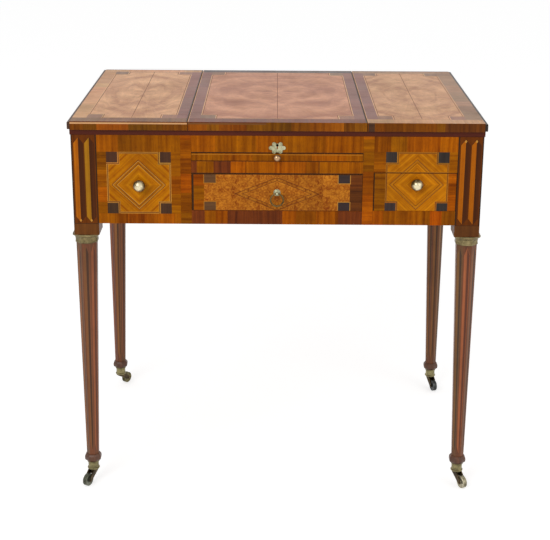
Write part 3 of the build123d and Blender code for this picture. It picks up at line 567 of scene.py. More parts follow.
    def finish(self, body, slot, *replaced, arris=0.35, lean=None):
        """Writes the grain maps, leans the mesh, makes the object, eases its arrises and places it."""
        grain = self.bm.loops.layers.uv.new("grain")
        tone = self.bm.loops.layers.uv.new("tone")
        names = []
        for face in self.bm.faces:
            veneer = self.veneers[face[self.tag]]
            if veneer["wood"] not in names:
                names.append(veneer["wood"])
            face.material_index = names.index(veneer["wood"])
            for loop in face.loops:
                loop[grain].uv = self.grain_of(veneer, loop.vert.co)
                loop[tone].uv = (veneer["tone"], veneer["hue"])
        if lean:
            bmesh.ops.transform(self.bm, matrix=lean, verts=self.bm.verts)
        piece = make_object(self.name, self.bm, [wood(name) for name in names])
        ease_arrises(piece, arris)
        place(piece, body, slot, *replaced)


def ease_arrises(piece, width):
    """Rounds the sharp edges of a piece a little."""
    bevel = piece.modifiers.new("eased_arris", "BEVEL")
    bevel.width = width * MM
    bevel.segments = 2
    bevel.limit_method = "ANGLE"
    bevel.angle_limit = math.radians(30)


def make_object(name, bm, materials, unit=MM):
    """Makes an object of a mesh, in mm unless another unit is given."""
    bmesh.ops.scale(bm, vec=(unit, unit, unit), verts=bm.verts)
    mesh = bpy.data.meshes.new(name)
    bm.to_mesh(mesh)
    bm.free()
    for material in materials:
        mesh.materials.append(material)
    piece = bpy.data.objects.new(name, mesh)
    bpy.context.scene.collection.objects.link(piece)
    return piece


def place(piece, body, slot, *replaced):
    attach(piece, body)
    if replaced:
        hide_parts(*replaced)


def node_box(node):
    low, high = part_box(node)
    return low / MM, high / MM


def box_middle(node):
    low, high = node_box(node)
    return (low + high) / 2


def turns(steps):
    """Equal turns round a circle."""
    return [2 * math.pi * i / steps for i in range(steps)]


# ---------------------------------------------------------------- marquetry patterns
def crossband(work, side, a0, a1, b0, b1, wood_name, runs="across", lengths=(26, 60), spread=0.6, hue=0.0):
    """A band of short pieces laid with their grain across the band, each of its own tone."""
    start, end = (a0, a1) if runs == "across" else (b0, b1)
    turn = ALONG_UP if runs == "across" else ALONG_ACROSS
    while start < end - 1:
        stop = min(end, start + work.random.uniform(*lengths))
        if end - stop < lengths[0] / 2:
            stop = end
        outline = rectangle(start, stop, b0, b1) if runs == "across" else rectangle(a0, a1, start, stop)
        figure = work.chance(spread, spread)
        figure["hue"] += hue
        work.lay(side, outline, wood_name, turn, **figure)
        start = stop


def crossband_side(work, side, wood_name, *figure):
    """A crossband over the whole of a side."""
    (a0, a1), (b0, b1) = work.span_of(side)
    crossband(work, side, a0, a1, b0, b1, wood_name, *figure)


def crossband_frame(work, side, outer, inner, woods, lengths, spread):
    """Four crossbands between two rectangles; woods are those of the left, right, lower and upper band."""
    (a0, a1, b0, b1), (c0, c1, d0, d1) = outer, inner
    bands = ((a0, a1, b0, d0, woods[2], "across"), (a0, a1, d1, b1, woods[3], "across"),
             (a0, c0, d0, d1, woods[0], "up"), (c1, a1, d0, d1, woods[1], "up"))
    for band in bands:
        crossband(work, side, *band, lengths, spread)


def quarters(work, side, outline_of, centre, wood_name, turn, tones):
    """Four pieces about a centre, cut from the same leaf of veneer and matched at their joints."""
    shift = (work.random.uniform(0, 3), work.random.uniform(0, 3))
    for (sign_a, sign_b), tone in zip(((-1, -1), (1, -1), (-1, 1), (1, 1)), tones):
        outline = outline_of(sign_a, sign_b)
        if sign_a * sign_b < 0:
            outline = outline[::-1]
        work.lay(side, outline, wood_name, turn, centre=centre, shift=shift, tone=tone)


def quartered_rectangle(work, side, a0, a1, b0, b1, wood_name, turn, tones):
    centre = ((a0 + a1) / 2, (b0 + b1) / 2)
    half_a, half_b = (a1 - a0) / 2, (b1 - b0) / 2

    def outline_of(sign_a, sign_b):
        far = (centre[0] + sign_a * half_a, centre[1] + sign_b * half_b)
        return [centre, (far[0], centre[1]), far, (centre[0], far[1])]
    quarters(work, side, outline_of, centre, wood_name, turn, tones)


def quartered_lozenge(work, side, centre, half_a, half_b, wood_name, turn, tones):
    def outline_of(sign_a, sign_b):
        return [centre, (centre[0] + sign_a * half_a, centre[1]), (centre[0], centre[1] + sign_b * half_b)]
    quarters(work, side, outline_of, centre, wood_name, turn, tones)


def along_lozenge(half_a, half_b):
    """Turn of grain that runs parallel to the sides of a lozenge."""
    return math.atan2(half_b, -half_a)


# Edgings are written from the outside inwards, as woods and widths in mm.
FRONT_EDGING = (("boxwood", 1.4), ("rosewood_line", 1.3), ("boxwood", 0.9))
FAINT_EDGING = (("faded_boxwood", 1.4), ("rosewood_line", 1.1), ("faded_boxwood", 0.9))
TOP_EDGING = (("top_string", 1.7), ("top_line", 1.2))
CLEAR_LOZENGE = (("rosewood_line", 1.0), ("boxwood", 1.4), ("", 2.8), ("rosewood_line", 1.0),
                 ("boxwood", 1.2))
FAINT_LOZENGE = (("rosewood_line", 0.7), ("faded_boxwood", 1.2), ("", 2.8), ("rosewood_line", 0.7))
LONG_LOZENGE = (("rosewood_line", 1.0), ("", 4.4), ("rosewood_line", 0.9))
LINE = 0.9


def strung_lozenge(work, side, centre, half_a, half_b, field, edging):
    """A lozenge with its edging, and with grain parallel to its sides."""
    slope = math.hypot(half_a, half_b)
    turn = along_lozenge(half_a, half_b)
    inset = 0.0

    def reach():
        return half_a - inset * slope / half_b, half_b - inset * slope / half_a
    for wood_name, width in edging:
        if wood_name:
            work.lay(side, lozenge(*centre, *reach()), wood_name)
        else:
            quartered_lozenge(work, side, centre, *reach(), field, turn, (-0.3, -0.2, -0.2, -0.3))
        inset += width
    quartered_lozenge(work, side, centre, *reach(), field, turn, (0.1, -0.1, 0.0, 0.15))


def corner_squares(work, side, a0, a1, b0, b1, size, square, edging, spread=0.4):
    """Squares in the corners of a field, with the field's edging stepped round them."""
    reach = sum(width for _, width in edging)
    for wood_name, width in edging[::-1] + ((square, 0.0),):
        edge = size + reach
        for low_a, high_a in ((a0, a0 + edge), (a1 - edge, a1)):
            for low_b, high_b in ((b0, b0 + edge), (b1 - edge, b1)):
                figure = work.chance(spread, spread)
                work.strip(side, low_a, high_a, low_b, high_b, wood_name, ALONG_UP, **figure)
        reach -= width


def strung_field(work, side, a0, a1, b0, b1, edging):
    """The edging of a field; returns the field's own limits inside it."""
    inset = 0.0
    for wood_name, width in edging:
        work.strip(side, a0 + inset, a1 - inset, b0 + inset, b1 - inset, wood_name)
        inset += width
    return a0 + inset, a1 - inset, b0 + inset, b1 - inset


# ---------------------------------------------------------------- the front
# sizes and places in mm; KEY_Z is the height of the keyhole's middle
BAND = "tulipwood_band"
SQUARE = 20.0
LOZENGE_REACH = (49.5, 47.5)
KEY_Z, KEY_BORE, KEY_DEPTH = 690.9, 2.9, 16.0
LEFT_SQUARE = dict(span_a=(-309.0, -192.0), span_b=(560.4, 676.6), middle=(-251.0, 614.7), field="tulipwood",
                   square="amaranth", edging=FRONT_EDGING, lozenge_edging=CLEAR_LOZENGE)
RIGHT_SQUARE = dict(span_a=(196.5, 311.0), span_b=(563.6, 679.4), middle=(253.2, 618.4),
                    field="bright_tulipwood", square="ebonised", edging=FAINT_EDGING,
                    lozenge_edging=FAINT_LOZENGE)


def front_square(work, span_a, span_b, middle, field, square, edging, lozenge_edging):
    """The square of marquetry on each side of the front: border, field, lozenge and corner squares."""
    limits = (*span_a, *span_b)
    whole_a, whole_b = work.span_of("front")
    crossband_frame(work, "front", (*whole_a, *whole_b), limits, [BAND] * 4, (18, 42), 0.6)
    inner = strung_field(work, "front", *limits, edging)
    quartered_rectangle(work, "front", *inner, field, along_lozenge(*LOZENGE_REACH), (-0.1, 0.1, 0.0, -0.1))
    strung_lozenge(work, "front", middle, *LOZENGE_REACH, field, lozenge_edging)
    corner_squares(work, "front", *limits, SQUARE, square, edging)


def make_left_front():
    low, high = node_box("left_front_panel")
    low.x = node_box("leg_front_left")[1].x
    work = Work("left_front_marquetry", low, high, BAND)
    front_square(work, **LEFT_SQUARE)
    work.finish("case", "case_veneer", "left_front_panel")


def make_right_front():
    """One square over a fixed rail and the drawer under it."""
    low, high = node_box("right_front_rail")
    high.x = node_box("leg_front_right")[0].x
    upper = Work("right_upper_marquetry", low, high, BAND)
    front_square(upper, **RIGHT_SQUARE)
    upper.strip("front", *RIGHT_SQUARE["span_a"], low.z, low.z + 1.3, "faded_boxwood")
    upper.finish("case", "case_veneer", "right_front_rail")
    drawer = Work("right_drawer_marquetry", *node_box("right_drawer_front"), BAND)
    front_square(drawer, **RIGHT_SQUARE)
    # the dark lines on its top and left edges are painted shadow in the gaps round the drawer
    drawer.edge("front", "high", 1.0, "ebony_line")
    drawer.edge("front", "left", 1.6, "ebony_line")
    drawer.finish("right_drawer", "case_veneer", "right_drawer_front")


def make_centre_drawer_front():
    low, high = node_box("centre_drawer_front")
    work = Work("centre_drawer_marquetry", low, high, BAND)
    square_out, square_in, square_high, burr_end = 132.5, 111.5, 16.5, 84.0
    lozenge_reach, lozenge_drop, string = (78.4, 31.5), 2.5, 1.3
    crossband(work, "front", low.x, -square_out, low.z, high.z, BAND, "up", (14, 28))
    crossband(work, "front", square_out, high.x, low.z, high.z, "kingwood", "up", (14, 28), 0.3, -0.6)
    quartered_rectangle(work, "front", -square_out, square_out, low.z, high.z, "burr_walnut", 0.35,
                        (0.05, -0.1, 0.1, 0.0))
    for a0, a1 in ((-square_out, -burr_end), (burr_end, square_out)):
        work.strip("front", a0, a1, low.z, high.z, "burr_walnut", tone=0.22)
    middle = (0.0, (low.z + high.z) / 2 - lozenge_drop)
    strung_lozenge(work, "front", middle, *lozenge_reach, "burr_walnut", LONG_LOZENGE)
    for sign, stringing, square in ((-1, "faded_boxwood", "brown_square"), (1, "boxwood", "ebonised")):
        a0, a1 = sorted((sign * square_in, sign * square_out))
        for b0, b1 in ((low.z, low.z + square_high), (high.z - square_high, high.z)):
            work.strip("front", a0 - string, a1 + string, b0 - string, b1 + string, stringing)
            work.strip("front", a0, a1, b0, b1, square, hue=0.3)
    # the dark lines on its top and left edges are painted shadow in the gaps round the drawer; the wide one at
    # the left end stands for the deep shade there
    work.edge("front", "high", 1.0, "ebony_line")
    work.edge("front", "low", LINE, "rosewood_line")
    work.edge("front", "left", 3.2, "ebony_line", tone=0.6)
    work.finish("centre_drawer", "case_veneer", "centre_drawer_front")


def make_rails():
    lock = Work("lock_rail_veneer", *node_box("lock_rail"), BAND)
    crossband_side(lock, "front", BAND, "across", (30, 70), 0.35)
    # the dark line on its lower edge is painted shadow in the gap below it
    lock.edge("front", "low", 1.8, "ebony_line")
    bore = [(math.cos(t) * KEY_BORE, KEY_Z + math.sin(t) * KEY_BORE) for t in turns(12)]
    # the bore is lined in dark ebony as painted shade inside the keyhole
    lock.sink("front", bore, KEY_DEPTH, "ebony_line")
    lock.finish("case", "case_veneer", "lock_rail")

    low, high = node_box("slide_rail")
    rail = Work("slide_rail_veneer", low, high, BAND)
    crossband_side(rail, "front", BAND, "across", (24, 60), 0.4)
    dark_patches, joint = ((low.x, low.x + 10), (-115, -84)), (75.5, 76.5)
    for a0, a1 in dark_patches:
        rail.strip("front", a0, a1, low.z, high.z, "kingwood", ALONG_UP, tone=0.1)
    rail.strip("front", *joint, low.z, high.z, "ebony_line")
    # the dark lines on its upper and lower edges are painted shadow in the gaps beside it
    rail.edge("front", "high", LINE, "ebony_line")
    rail.edge("front", "low", 1.6, "ebony_line")
    rail.finish("case", "case_veneer", "slide_rail")

    low, high = node_box("bottom_rails")
    left_partition, right_partition = node_box("left_partition"), node_box("right_partition")
    centre_low, centre_high = left_partition[1].x, right_partition[0].x
    right_low, right_high = right_partition[1].x, node_box("leg_front_right")[0].x
    patches = ((-90, 10, -0.1), (centre_low, -132, 0.3), (112, centre_high, 0.2))
    for side, a0, a1, patched, replaced in (("centre", centre_low, centre_high, patches, ["bottom_rails"]),
                                            ("right", right_low, right_high, (), [])):
        top = node_box(f"{side}_drawer_front")[0].z - 0.4
        work = Work(f"{side}_bottom_rail_veneer", (a0, low.y, low.z), (a1, high.y, top), BAND)
        crossband(work, "front", a0, a1, low.z, top, BAND, "across", (18, 46), 0.6, 0.3)
        for patch_low, patch_high, tone in patched:
            work.strip("front", patch_low, patch_high, low.z, top, "kingwood", ALONG_UP, tone=tone)
        work.finish("case", "case_veneer", *replaced)


def make_partitions():
    for name in ("left_partition", "right_partition"):
        work = Work(f"{name}_veneered", *node_box(name), "inside_veneer")
        crossband_side(work, "front", BAND, "up", (18, 44), 0.6)
        work.finish("case", "case_veneer", name)


def make_writing_slide():
    low, high = node_box("slide_board")
    skin_low, skin_high = node_box("slide_leather")
    work = Work("writing_slide_board", low, high, "inside_veneer", ALONG_ACROSS)
    crossband_side(work, "front", BAND, "across", (30, 70), 0.3, -0.2)
    work.strip("front", low.x, high.x, high.z - 2.6, high.z - 1.2, "faded_boxwood")
    seat = (skin_low.x, skin_high.x, skin_low.y, skin_high.y)
    crossband_frame(work, "top", (low.x, high.x, low.y, high.y), seat, [BAND] * 4, (30, 60), 0.4)
    work.sink("top", rectangle(*seat), skin_high.z - skin_low.z, "pine")
    work.finish("writing_slide", "case_veneer", "slide_board")

    skin = Work("slide_leather_skiver", skin_low, skin_high, "leather")
    for inset, width in ((10.0, 1.6), (13.5, 0.8)):
        for a, name in ((inset, "gilt"), (inset + width, "leather")):
            skin.strip("top", seat[0] + a, seat[1] - a, seat[2] + a, seat[3] - a, name)
    for face in skin.bm.faces:
        face.material_index = int(skin.veneers[face[skin.tag]]["wood"] == "gilt")
    piece = make_object(skin.name, skin.bm, [make_leather(), metal("gilt_tooling")])
    place(piece, "writing_slide", "leather", "slide_leather")


# ---------------------------------------------------------------- sides and back of the case
def case_panel(name, side, low, high, lengths, spread):
    """A panel of the case in its crossbanded frame; also returns the limits of the frame and of the field."""
    work = Work(name, low, high, "inside_veneer")
    (a0, a1), (b0, b1) = work.span_of(side)
    inner = (a0 + 26, a1 - 26, b0 + 22, b1 - 32)
    crossband_frame(work, side, (a0, a1, b0, b1), inner, [BAND] * 4, lengths, spread)
    return work, inner, strung_field(work, side, *inner, FRONT_EDGING)


def make_case_sides():
    for side in ("left", "right"):
        name = f"{side}_side_panel"
        low, high = node_box(name)
        low.y = node_box("leg_front_left")[1].y
        high.y = node_box("leg_rear_left")[0].y
        work, inner, field = case_panel(f"{name}_marquetry", side, low, high, (26, 56), 0.5)
        middle = ((field[0] + field[1]) / 2, (field[2] + field[3]) / 2)
        half = ((field[1] - field[0]) / 2, (field[3] - field[2]) / 2)
        quartered_rectangle(work, side, *field, "side_veneer", along_lozenge(*half), (0.05, -0.1, 0.0, 0.1))
        strung_lozenge(work, side, middle, half[0] - 6, half[1] - 4, "side_veneer", CLEAR_LOZENGE)
        corner_squares(work, side, *inner, SQUARE, "amaranth", FRONT_EDGING)
        work.finish("case", "case_veneer", name)

    low, high = node_box("back_panel")
    low.x = node_box("leg_rear_left")[1].x
    high.x = node_box("leg_rear_right")[0].x
    work, _, field = case_panel("back_panel_veneered", "back", low, high, (40, 80), 0.4)
    quartered_rectangle(work, "back", *field, "side_veneer", ALONG_ACROSS, (0.0, 0.05, 0.05, 0.0))
    work.finish("case", "case_veneer", "back_panel")


# ---------------------------------------------------------------- the top
FRONT_BORDER, BACK_BORDER, TOP_SQUARE, BACK_STRIP = 30.0, 26.0, 27.0, 4.0
EDGE_LINE = 1.8
HINGE_LENGTH, HINGE_SEAT, STRIKE_SEAT = 60.0, 1.5, 7.5


def top_leaf(name, node, side_borders, woods, leaf_tone, leaf_hue=0.0):
    """One leaf of the top: crossbanded border, edging with corner squares and a field matched at its seam."""
    low, high = node_box(node)
    work = Work(name, low, high, "inside_veneer", ALONG_UP)
    outer = (low.x, high.x, low.y, high.y)
    inner = (low.x + side_borders[0], high.x - side_borders[1], low.y + FRONT_BORDER, high.y - BACK_BORDER)
    crossband_frame(work, "top", outer, inner, woods, (34, 80), 0.25)
    field = strung_field(work, "top", *inner, TOP_EDGING)
    seam, middle = (field[0] + field[1]) / 2, (field[2] + field[3]) / 2
    half = ((field[1] - field[0]) / 2, (field[3] - field[2]) / 2)
    work.strip("top", *field, "top_field", centre=(seam, middle), span=half, tone=leaf_tone, hue=leaf_hue)
    work.strip("top", seam - 0.5, seam + 0.5, field[2], field[3], "top_line")
    corner_squares(work, "top", *inner, TOP_SQUARE, "top_square", TOP_EDGING, 0.3)
    work.edge("top", "high", BACK_STRIP, "top_back_border")
    crossband_side(work, "front", "edge_band", "across", (16, 40), 0.6)
    crossband_side(work, "back", "edge_band", "across", (26, 60), 0.6)
    return work


def banded_edge_and_highlight(work, end, depth, wood_name):
    """A lighter strip under a dark line, along the upper part of a leaf's front edge; on the left leaf the
    lighter strip is a painted highlight.
    """
    start, top = work.low.x, work.high.z
    work.strip("front", start, end, top - depth, top - EDGE_LINE, wood_name)
    work.strip("front", start, end, top - EDGE_LINE, top, "rosewood_line")


def seen_below(low, high):
    """Outline of a box on a piece's underside."""
    return rectangle(-high.x, -low.x, low.y, high.y)


def hinge_recesses(work, node):
    """Shallow seats for a leaf's two hinges in its underside."""
    low, high = node_box(node)
    (a0, a1), (b0, b1) = work.span_of("bottom")
    if high.y - low.y > high.x - low.x:
        starts = (low.y, high.y - HINGE_LENGTH)
        seats = [(max(a0, -high.x), min(a1, -low.x), b, b + HINGE_LENGTH) for b in starts]
    else:
        starts = (-high.x, -low.x - HINGE_LENGTH)
        seats = [(a, a + HINGE_LENGTH, max(b0, low.y), min(b1, high.y)) for a in starts]
    for seat in seats:
        work.sink("bottom", rectangle(*seat), HINGE_SEAT, "pine")


def make_top():
    left = top_leaf("left_leaf_marquetry", "left_flap_board", (26.0, 21.0),
                    ("top_pale_border", "top_border", "top_brown_border", "top_pale_border"), 0.08)
    # the pale strip along this leaf's front edge is a painted highlight on its upper arris
    banded_edge_and_highlight(left, left.high.x, 4.6, "top_string")
    # the dark line on this leaf's right edge stands for the seam and the shade in it
    left.edge("top", "right", 2.0, "ebony_line")
    hinge_recesses(left, "left_flap_hinge_leaves")
    left.finish("left_flap", "top_veneer", "left_flap_board")

    centre = top_leaf("centre_leaf_marquetry", "lid_board", (21.0, 21.0),
                      ("top_border", "top_border", "top_pink_border", "top_back_border"), -0.35, 0.5)
    banded_edge_and_highlight(centre, -20.0, 4.4, "top_brown_border")
    # the pale line on its left edge is a painted highlight on the arris beside the seam; the dark line on its
    # right edge stands for the next seam and the shade in it
    centre.edge("top", "left", 1.2, "top_string")
    centre.edge("top", "right", 2.0, "ebony_line")
    mirror_low, mirror_high = node_box("mirror_glass")
    centre.sink("bottom", seen_below(mirror_low, mirror_high), mirror_high.z - centre.low.z, "pine")
    centre.sink("bottom", seen_below(*node_box("lid_strike")), STRIKE_SEAT, "ebony_line")
    hinge_recesses(centre, "lid_hinge_leaves")
    centre.finish("centre_lid", "top_veneer", "lid_board")

    right = top_leaf("right_leaf_marquetry", "right_flap_board", (21.0, 30.0),
                     ("top_border", "top_grey_border", "top_pale_border", "top_grey_border"), 0.0)
    low, high = right.low, right.high
    right.strip("front", 163, 174, low.z, high.z, "amaranth")
    right.strip("front", 300, high.x, low.z, high.z, "kingwood", ALONG_UP, hue=-0.8)
    # the pale line on its left edge is a painted highlight on the arris beside the seam
    right.edge("top", "left", 1.2, "top_string")
    hinge_recesses(right, "right_flap_hinge_leaves")
    right.finish("right_flap", "top_veneer", "right_flap_board")


# ---------------------------------------------------------------- legs
LEG_CORNERS = {"front_left": (-1, -1), "front_right": (1, -1), "rear_left": (-1, 1), "rear_right": (1, 1)}
# heights above the floor and widths across the flats, in mm
BLOCK_BOTTOM, CASE_BOTTOM = 518.5, 541.0
SHAFT_TOP_FLATS, SHAFT_TOE_FLATS, SHAFT_TOE = 38.4, 22.7, 62.0
SHAFT_OUTSET, SHAFT_SPLAY = 3.5, 5.0
OCTAGON_REACH = 1 / math.cos(math.pi / 8) / 2
POST_EDGE, FLUTE_OFFSET = 2.4, 9.8
FLUTE_LINE = 0.7
SHAFT_FLUTE = dict(low=10.0, width_low=5.6, width_high=9.5, tip=14.0,
                   woods=("leg_bright", "leg_shade", "leg_bright"))
SHAFT_FLUTE_TOP = 23.0
POST_FLUTE = dict(low=543.0, high=703.0, width_low=17.0, width_high=17.0, tip=11.0)
LEFT_TIP_Z, RIGHT_TIP_Z, TIP_REACH = 546.5, 699.5, (2.2, 3.2)


def flute(work, side, middle, low, high, width_low, width_high, tip, woods, **figure):
    """A simulated flute, pointed at both ends; woods are its bright half, its shaded half and its outline."""
    bright, shade, outline = woods
    left_low, left_high = middle - width_low / 2, middle - width_high / 2
    right_low, right_high = middle + width_low / 2, middle + width_high / 2
    line = FLUTE_LINE
    work.lay(side, [(middle, low - line * 2), (right_low + line, low + tip), (right_high + line, high - tip),
                    (middle, high + line * 2), (left_high - line, high - tip), (left_low - line, low + tip)],
             outline, ALONG_UP, **figure)
    work.lay(side, [(middle, low), (middle, high), (left_high, high - tip), (left_low, low + tip)],
             bright, ALONG_UP, **figure)
    work.lay(side, [(middle, low), (right_low, low + tip), (right_high, high - tip), (middle, high)],
             shade, ALONG_UP, **figure)


def make_shaft(corner, centre):
    """Octagonal tapered shaft, splayed a little outwards, with a flute let into each of its eight facets."""
    unit = Vector((1, 1, 1))
    work = Work(f"leg_{corner}_shaft", centre - unit, centre + unit, "leg_ground", ALONG_UP)
    bm = work.bm
    bmesh.ops.delete(bm, geom=bm.verts[:], context="VERTS")
    height = BLOCK_BOTTOM - SHAFT_TOE
    toe = Vector((centre.x, centre.y, SHAFT_TOE))
    upright = Matrix.Translation((centre.x, centre.y, SHAFT_TOE + height / 2))
    bmesh.ops.create_cone(bm, cap_ends=True, segments=8, radius1=SHAFT_TOE_FLATS * OCTAGON_REACH,
                          radius2=SHAFT_TOP_FLATS * OCTAGON_REACH, depth=height,
                          matrix=upright @ Matrix.Rotation(math.pi / 8, 4, "Z"))
    lean = math.atan2((SHAFT_TOP_FLATS - SHAFT_TOE_FLATS) / 2, height)
    for turn in turns(8):
        level = Vector((math.cos(turn), math.sin(turn), 0))
        out = Vector((math.cos(turn) * math.cos(lean), math.sin(turn) * math.cos(lean), -math.sin(lean)))
        across = Vector((-math.sin(turn), math.cos(turn), 0))
        facet = Side(toe + level * SHAFT_TOE_FLATS / 2, across, out.cross(across))
        faces = [face for face in bm.faces if face.normal.dot(out) > 0.999]
        work.cover(faces, work.veneer("leg_ground", facet, ALONG_UP, **work.chance(0.3, 0.5)))
        flute(work, facet, 0.0, high=height - SHAFT_FLUTE_TOP, **SHAFT_FLUTE, **work.chance(0.5, 0.8))
    slope = LEG_CORNERS[corner][0] * SHAFT_SPLAY / height
    splay = Matrix.Identity(4)
    splay[0][2], splay[0][3] = -slope, slope * BLOCK_BOTTOM
    work.finish("case", "leg_wood", arris=0.4, lean=splay)


def make_leg(corner):
    side_sign, end_sign = LEG_CORNERS[corner]
    low, high = node_box(f"leg_{corner}")
    post = Work(f"leg_{corner}_post", (low.x, low.y, BLOCK_BOTTOM), high, "block_brown", ALONG_UP)
    outward = ("right" if side_sign > 0 else "left"), ("back" if end_sign > 0 else "front")
    tip_z = LEFT_TIP_Z if side_sign < 0 else RIGHT_TIP_Z
    far_flute = "flute_olive" if side_sign < 0 else "flute_bright"
    for name in outward:
        (a0, a1), _ = post.span_of(name)
        middle = (a0 + a1) / 2
        post.strip(name, a0, a1, CASE_BOTTOM, high.z, "post_ground", ALONG_UP)
        for edge in (a0, a1 - POST_EDGE):
            post.strip(name, edge, edge + POST_EDGE, CASE_BOTTOM, high.z, "ebony_line", ALONG_UP, tone=0.5)
        for offset, bright in ((-FLUTE_OFFSET, "flute_bright"), (FLUTE_OFFSET, far_flute)):
            flute(post, name, middle + offset, **POST_FLUTE, woods=(bright, "flute_shade", "flute_shade"))
            post.lay(name, lozenge(middle + offset, tip_z, *TIP_REACH), "boxwood")
        post.strip(name, a0, a1, CASE_BOTTOM - LINE, CASE_BOTTOM, "ebony_line")
    post.finish("case", "leg_wood", f"leg_{corner}", arris=0.8)
    make_shaft(corner, (low + high) / 2 + X * side_sign * SHAFT_OUTSET)


# ---------------------------------------------------------------- turned pieces
def spun(profile, foot, axis, steps, first_turn=0.0):
    """A mesh turned about an axis through a foot point, from (radius, height) points."""
    bm = bmesh.new()
    axis = Vector(axis).normalized()
    reference = axis.orthogonal().normalized()
    if abs(axis.z) > 0.9:
        reference = Vector((math.cos(first_turn), math.sin(first_turn), 0))
    foot = Vector(foot)
    points = [bm.verts.new(foot + reference * radius + axis * height) for radius, height in profile]
    lines = [bm.edges.new(pair) for pair in zip(points, points[1:])]
    bmesh.ops.spin(bm, geom=points + lines, cent=foot, axis=axis, angle=2 * math.pi, steps=steps,
                   use_merge=True)
    bmesh.ops.remove_doubles(bm, verts=bm.verts, dist=0.01)
    bmesh.ops.recalc_face_normals(bm, faces=bm.faces)
    return bm


def join_mesh(bm, other):
    """Adds another mesh to the first one."""
    mesh = bpy.data.meshes.new("part")
    other.to_mesh(mesh)
    other.free()
    bm.from_mesh(mesh)
    bpy.data.meshes.remove(mesh)


def finish_metal(name, bm, material, body, slot, *replaced, sharp=40.0, arris=0.0, rub_and_highlight=None):
    """Makes an object of a metal piece; the given function says at each point how much handling wear and
    painted highlight it has, and below zero how much painted shade.
    """
    rub_and_highlight_layer = bm.verts.layers.float.new("rub_and_highlight")
    for vert in bm.verts:
        vert[rub_and_highlight_layer] = rub_and_highlight(vert.co) if rub_and_highlight else 0.0
    piece = make_object(name, bm, [material])
    piece.data.shade_smooth()
    piece.data.set_sharp_from_angle(angle=math.radians(sharp))
    if arris:
        ease_arrises(piece, arris)
    place(piece, body, slot, *replaced)


def leg_centres(splay=0.0):
    """The shafts' axes at their tops, or at their toes if the splay is given."""
    for corner, (side_sign, _) in LEG_CORNERS.items():
        middle = box_middle(f"leg_{corner}")
        yield corner, middle.x + side_sign * (SHAFT_OUTSET + splay), middle.y


# Profiles of the leg fittings, as width across the flats or radius, and height above the floor.
COLLAR = ((38.8, 500.5), (40.6, 500.5), (41.0, 501.1), (41.0, 502.3), (40.9, 503.3), (40.2, 503.9),
          (40.2, 508.5), (40.8, 509.0), (41.0, 510.1), (40.9, 511.0), (42.4, 511.9), (44.2, 512.8),
          (45.6, 513.6), (46.0, 514.0), (49.0, 514.2), (49.5, 515.0), (49.5, 517.7), (49.0, 518.5),
          (38.8, 518.5), (38.8, 500.5))
TOE_RING = ((16.8, 46.0), (22.4, 46.0), (23.6, 47.0), (25.2, 47.6), (28.0, 48.4), (30.2, 49.8), (31.0, 52.0),
            (31.0, 55.4), (30.4, 57.4), (28.6, 59.2), (26.6, 60.2), (25.6, 61.0), (25.0, 62.0), (16.8, 62.0),
            (16.8, 46.0))
SOCKET = ((4.0, 29.0), (11.2, 29.0), (11.8, 29.6), (11.8, 31.2), (11.2, 31.8), (10.2, 32.4), (10.2, 42.6),
          (11.2, 43.2), (11.8, 43.9), (11.8, 45.4), (11.2, 46.0), (4.0, 46.0))


def octagon(stations, x, y):
    """An eight-sided ring about a leg, from its widths across the flats."""
    profile = [(flats * OCTAGON_REACH, height) for flats, height in stations]
    return spun(profile, (x, y, 0), Z, 8, math.pi / 8)


def make_leg_fittings():
    collars, rings, sockets = bmesh.new(), bmesh.new(), bmesh.new()
    for _, x, y in leg_centres():
        join_mesh(collars, octagon(COLLAR, x, y))
    for _, x, y in leg_centres(SHAFT_SPLAY):
        join_mesh(rings, octagon(TOE_RING, x, y))
        join_mesh(sockets, spun(SOCKET, (x, y, 0), Z, 40))
    finish_metal("leg_collar_rings", collars, metal("brass_tarnished"), "case", "tarnished_brass",
                 "leg_collars", arris=0.3)
    finish_metal("toe_ring_blocks", rings, wood("toe_ring_wood", "z"), "case", "leg_wood",
                 "toe_rings", arris=0.3)
    finish_metal("caster_socket_cups", sockets, metal("brass_socket"), "case", "tarnished_brass",
                 "caster_sockets")


# ---------------------------------------------------------------- knobs, escutcheon and ring pull
# shares of the knob's radius and of its reach
KNOB_FOOT = ((0.0, 0.0), (0.6, 0.0), (0.62, 0.03), (0.58, 0.07), (0.42, 0.1), (0.34, 0.16), (0.33, 0.24))
BODY_STEPS, DOME_STEPS = 6, 9


def knob_profile(radius, reach):
    """Foot, neck, swelling body and domed crown of a turned knob, from the front of the board outwards."""
    shoulder = 0.6 * reach
    middle = (reach ** 2 - radius ** 2 - shoulder ** 2) / (2 * (reach - shoulder))
    dome = reach - middle
    points = [(wide * radius, tall * reach) for wide, tall in KNOB_FOOT]
    for i in range(1, BODY_STEPS + 1):
        swell = i / BODY_STEPS * math.pi / 2
        width, height = 0.34 + 0.66 * math.sin(swell), 0.27 + 0.33 * (1 - math.cos(swell))
        points.append((radius * width, reach * height))
    end_turn = math.atan2(radius, shoulder - middle)
    for i in range(1, DOME_STEPS + 1):
        turn = end_turn * (1 - i / DOME_STEPS)
        points.append((dome * math.sin(turn), middle + dome * math.cos(turn)))
    return points


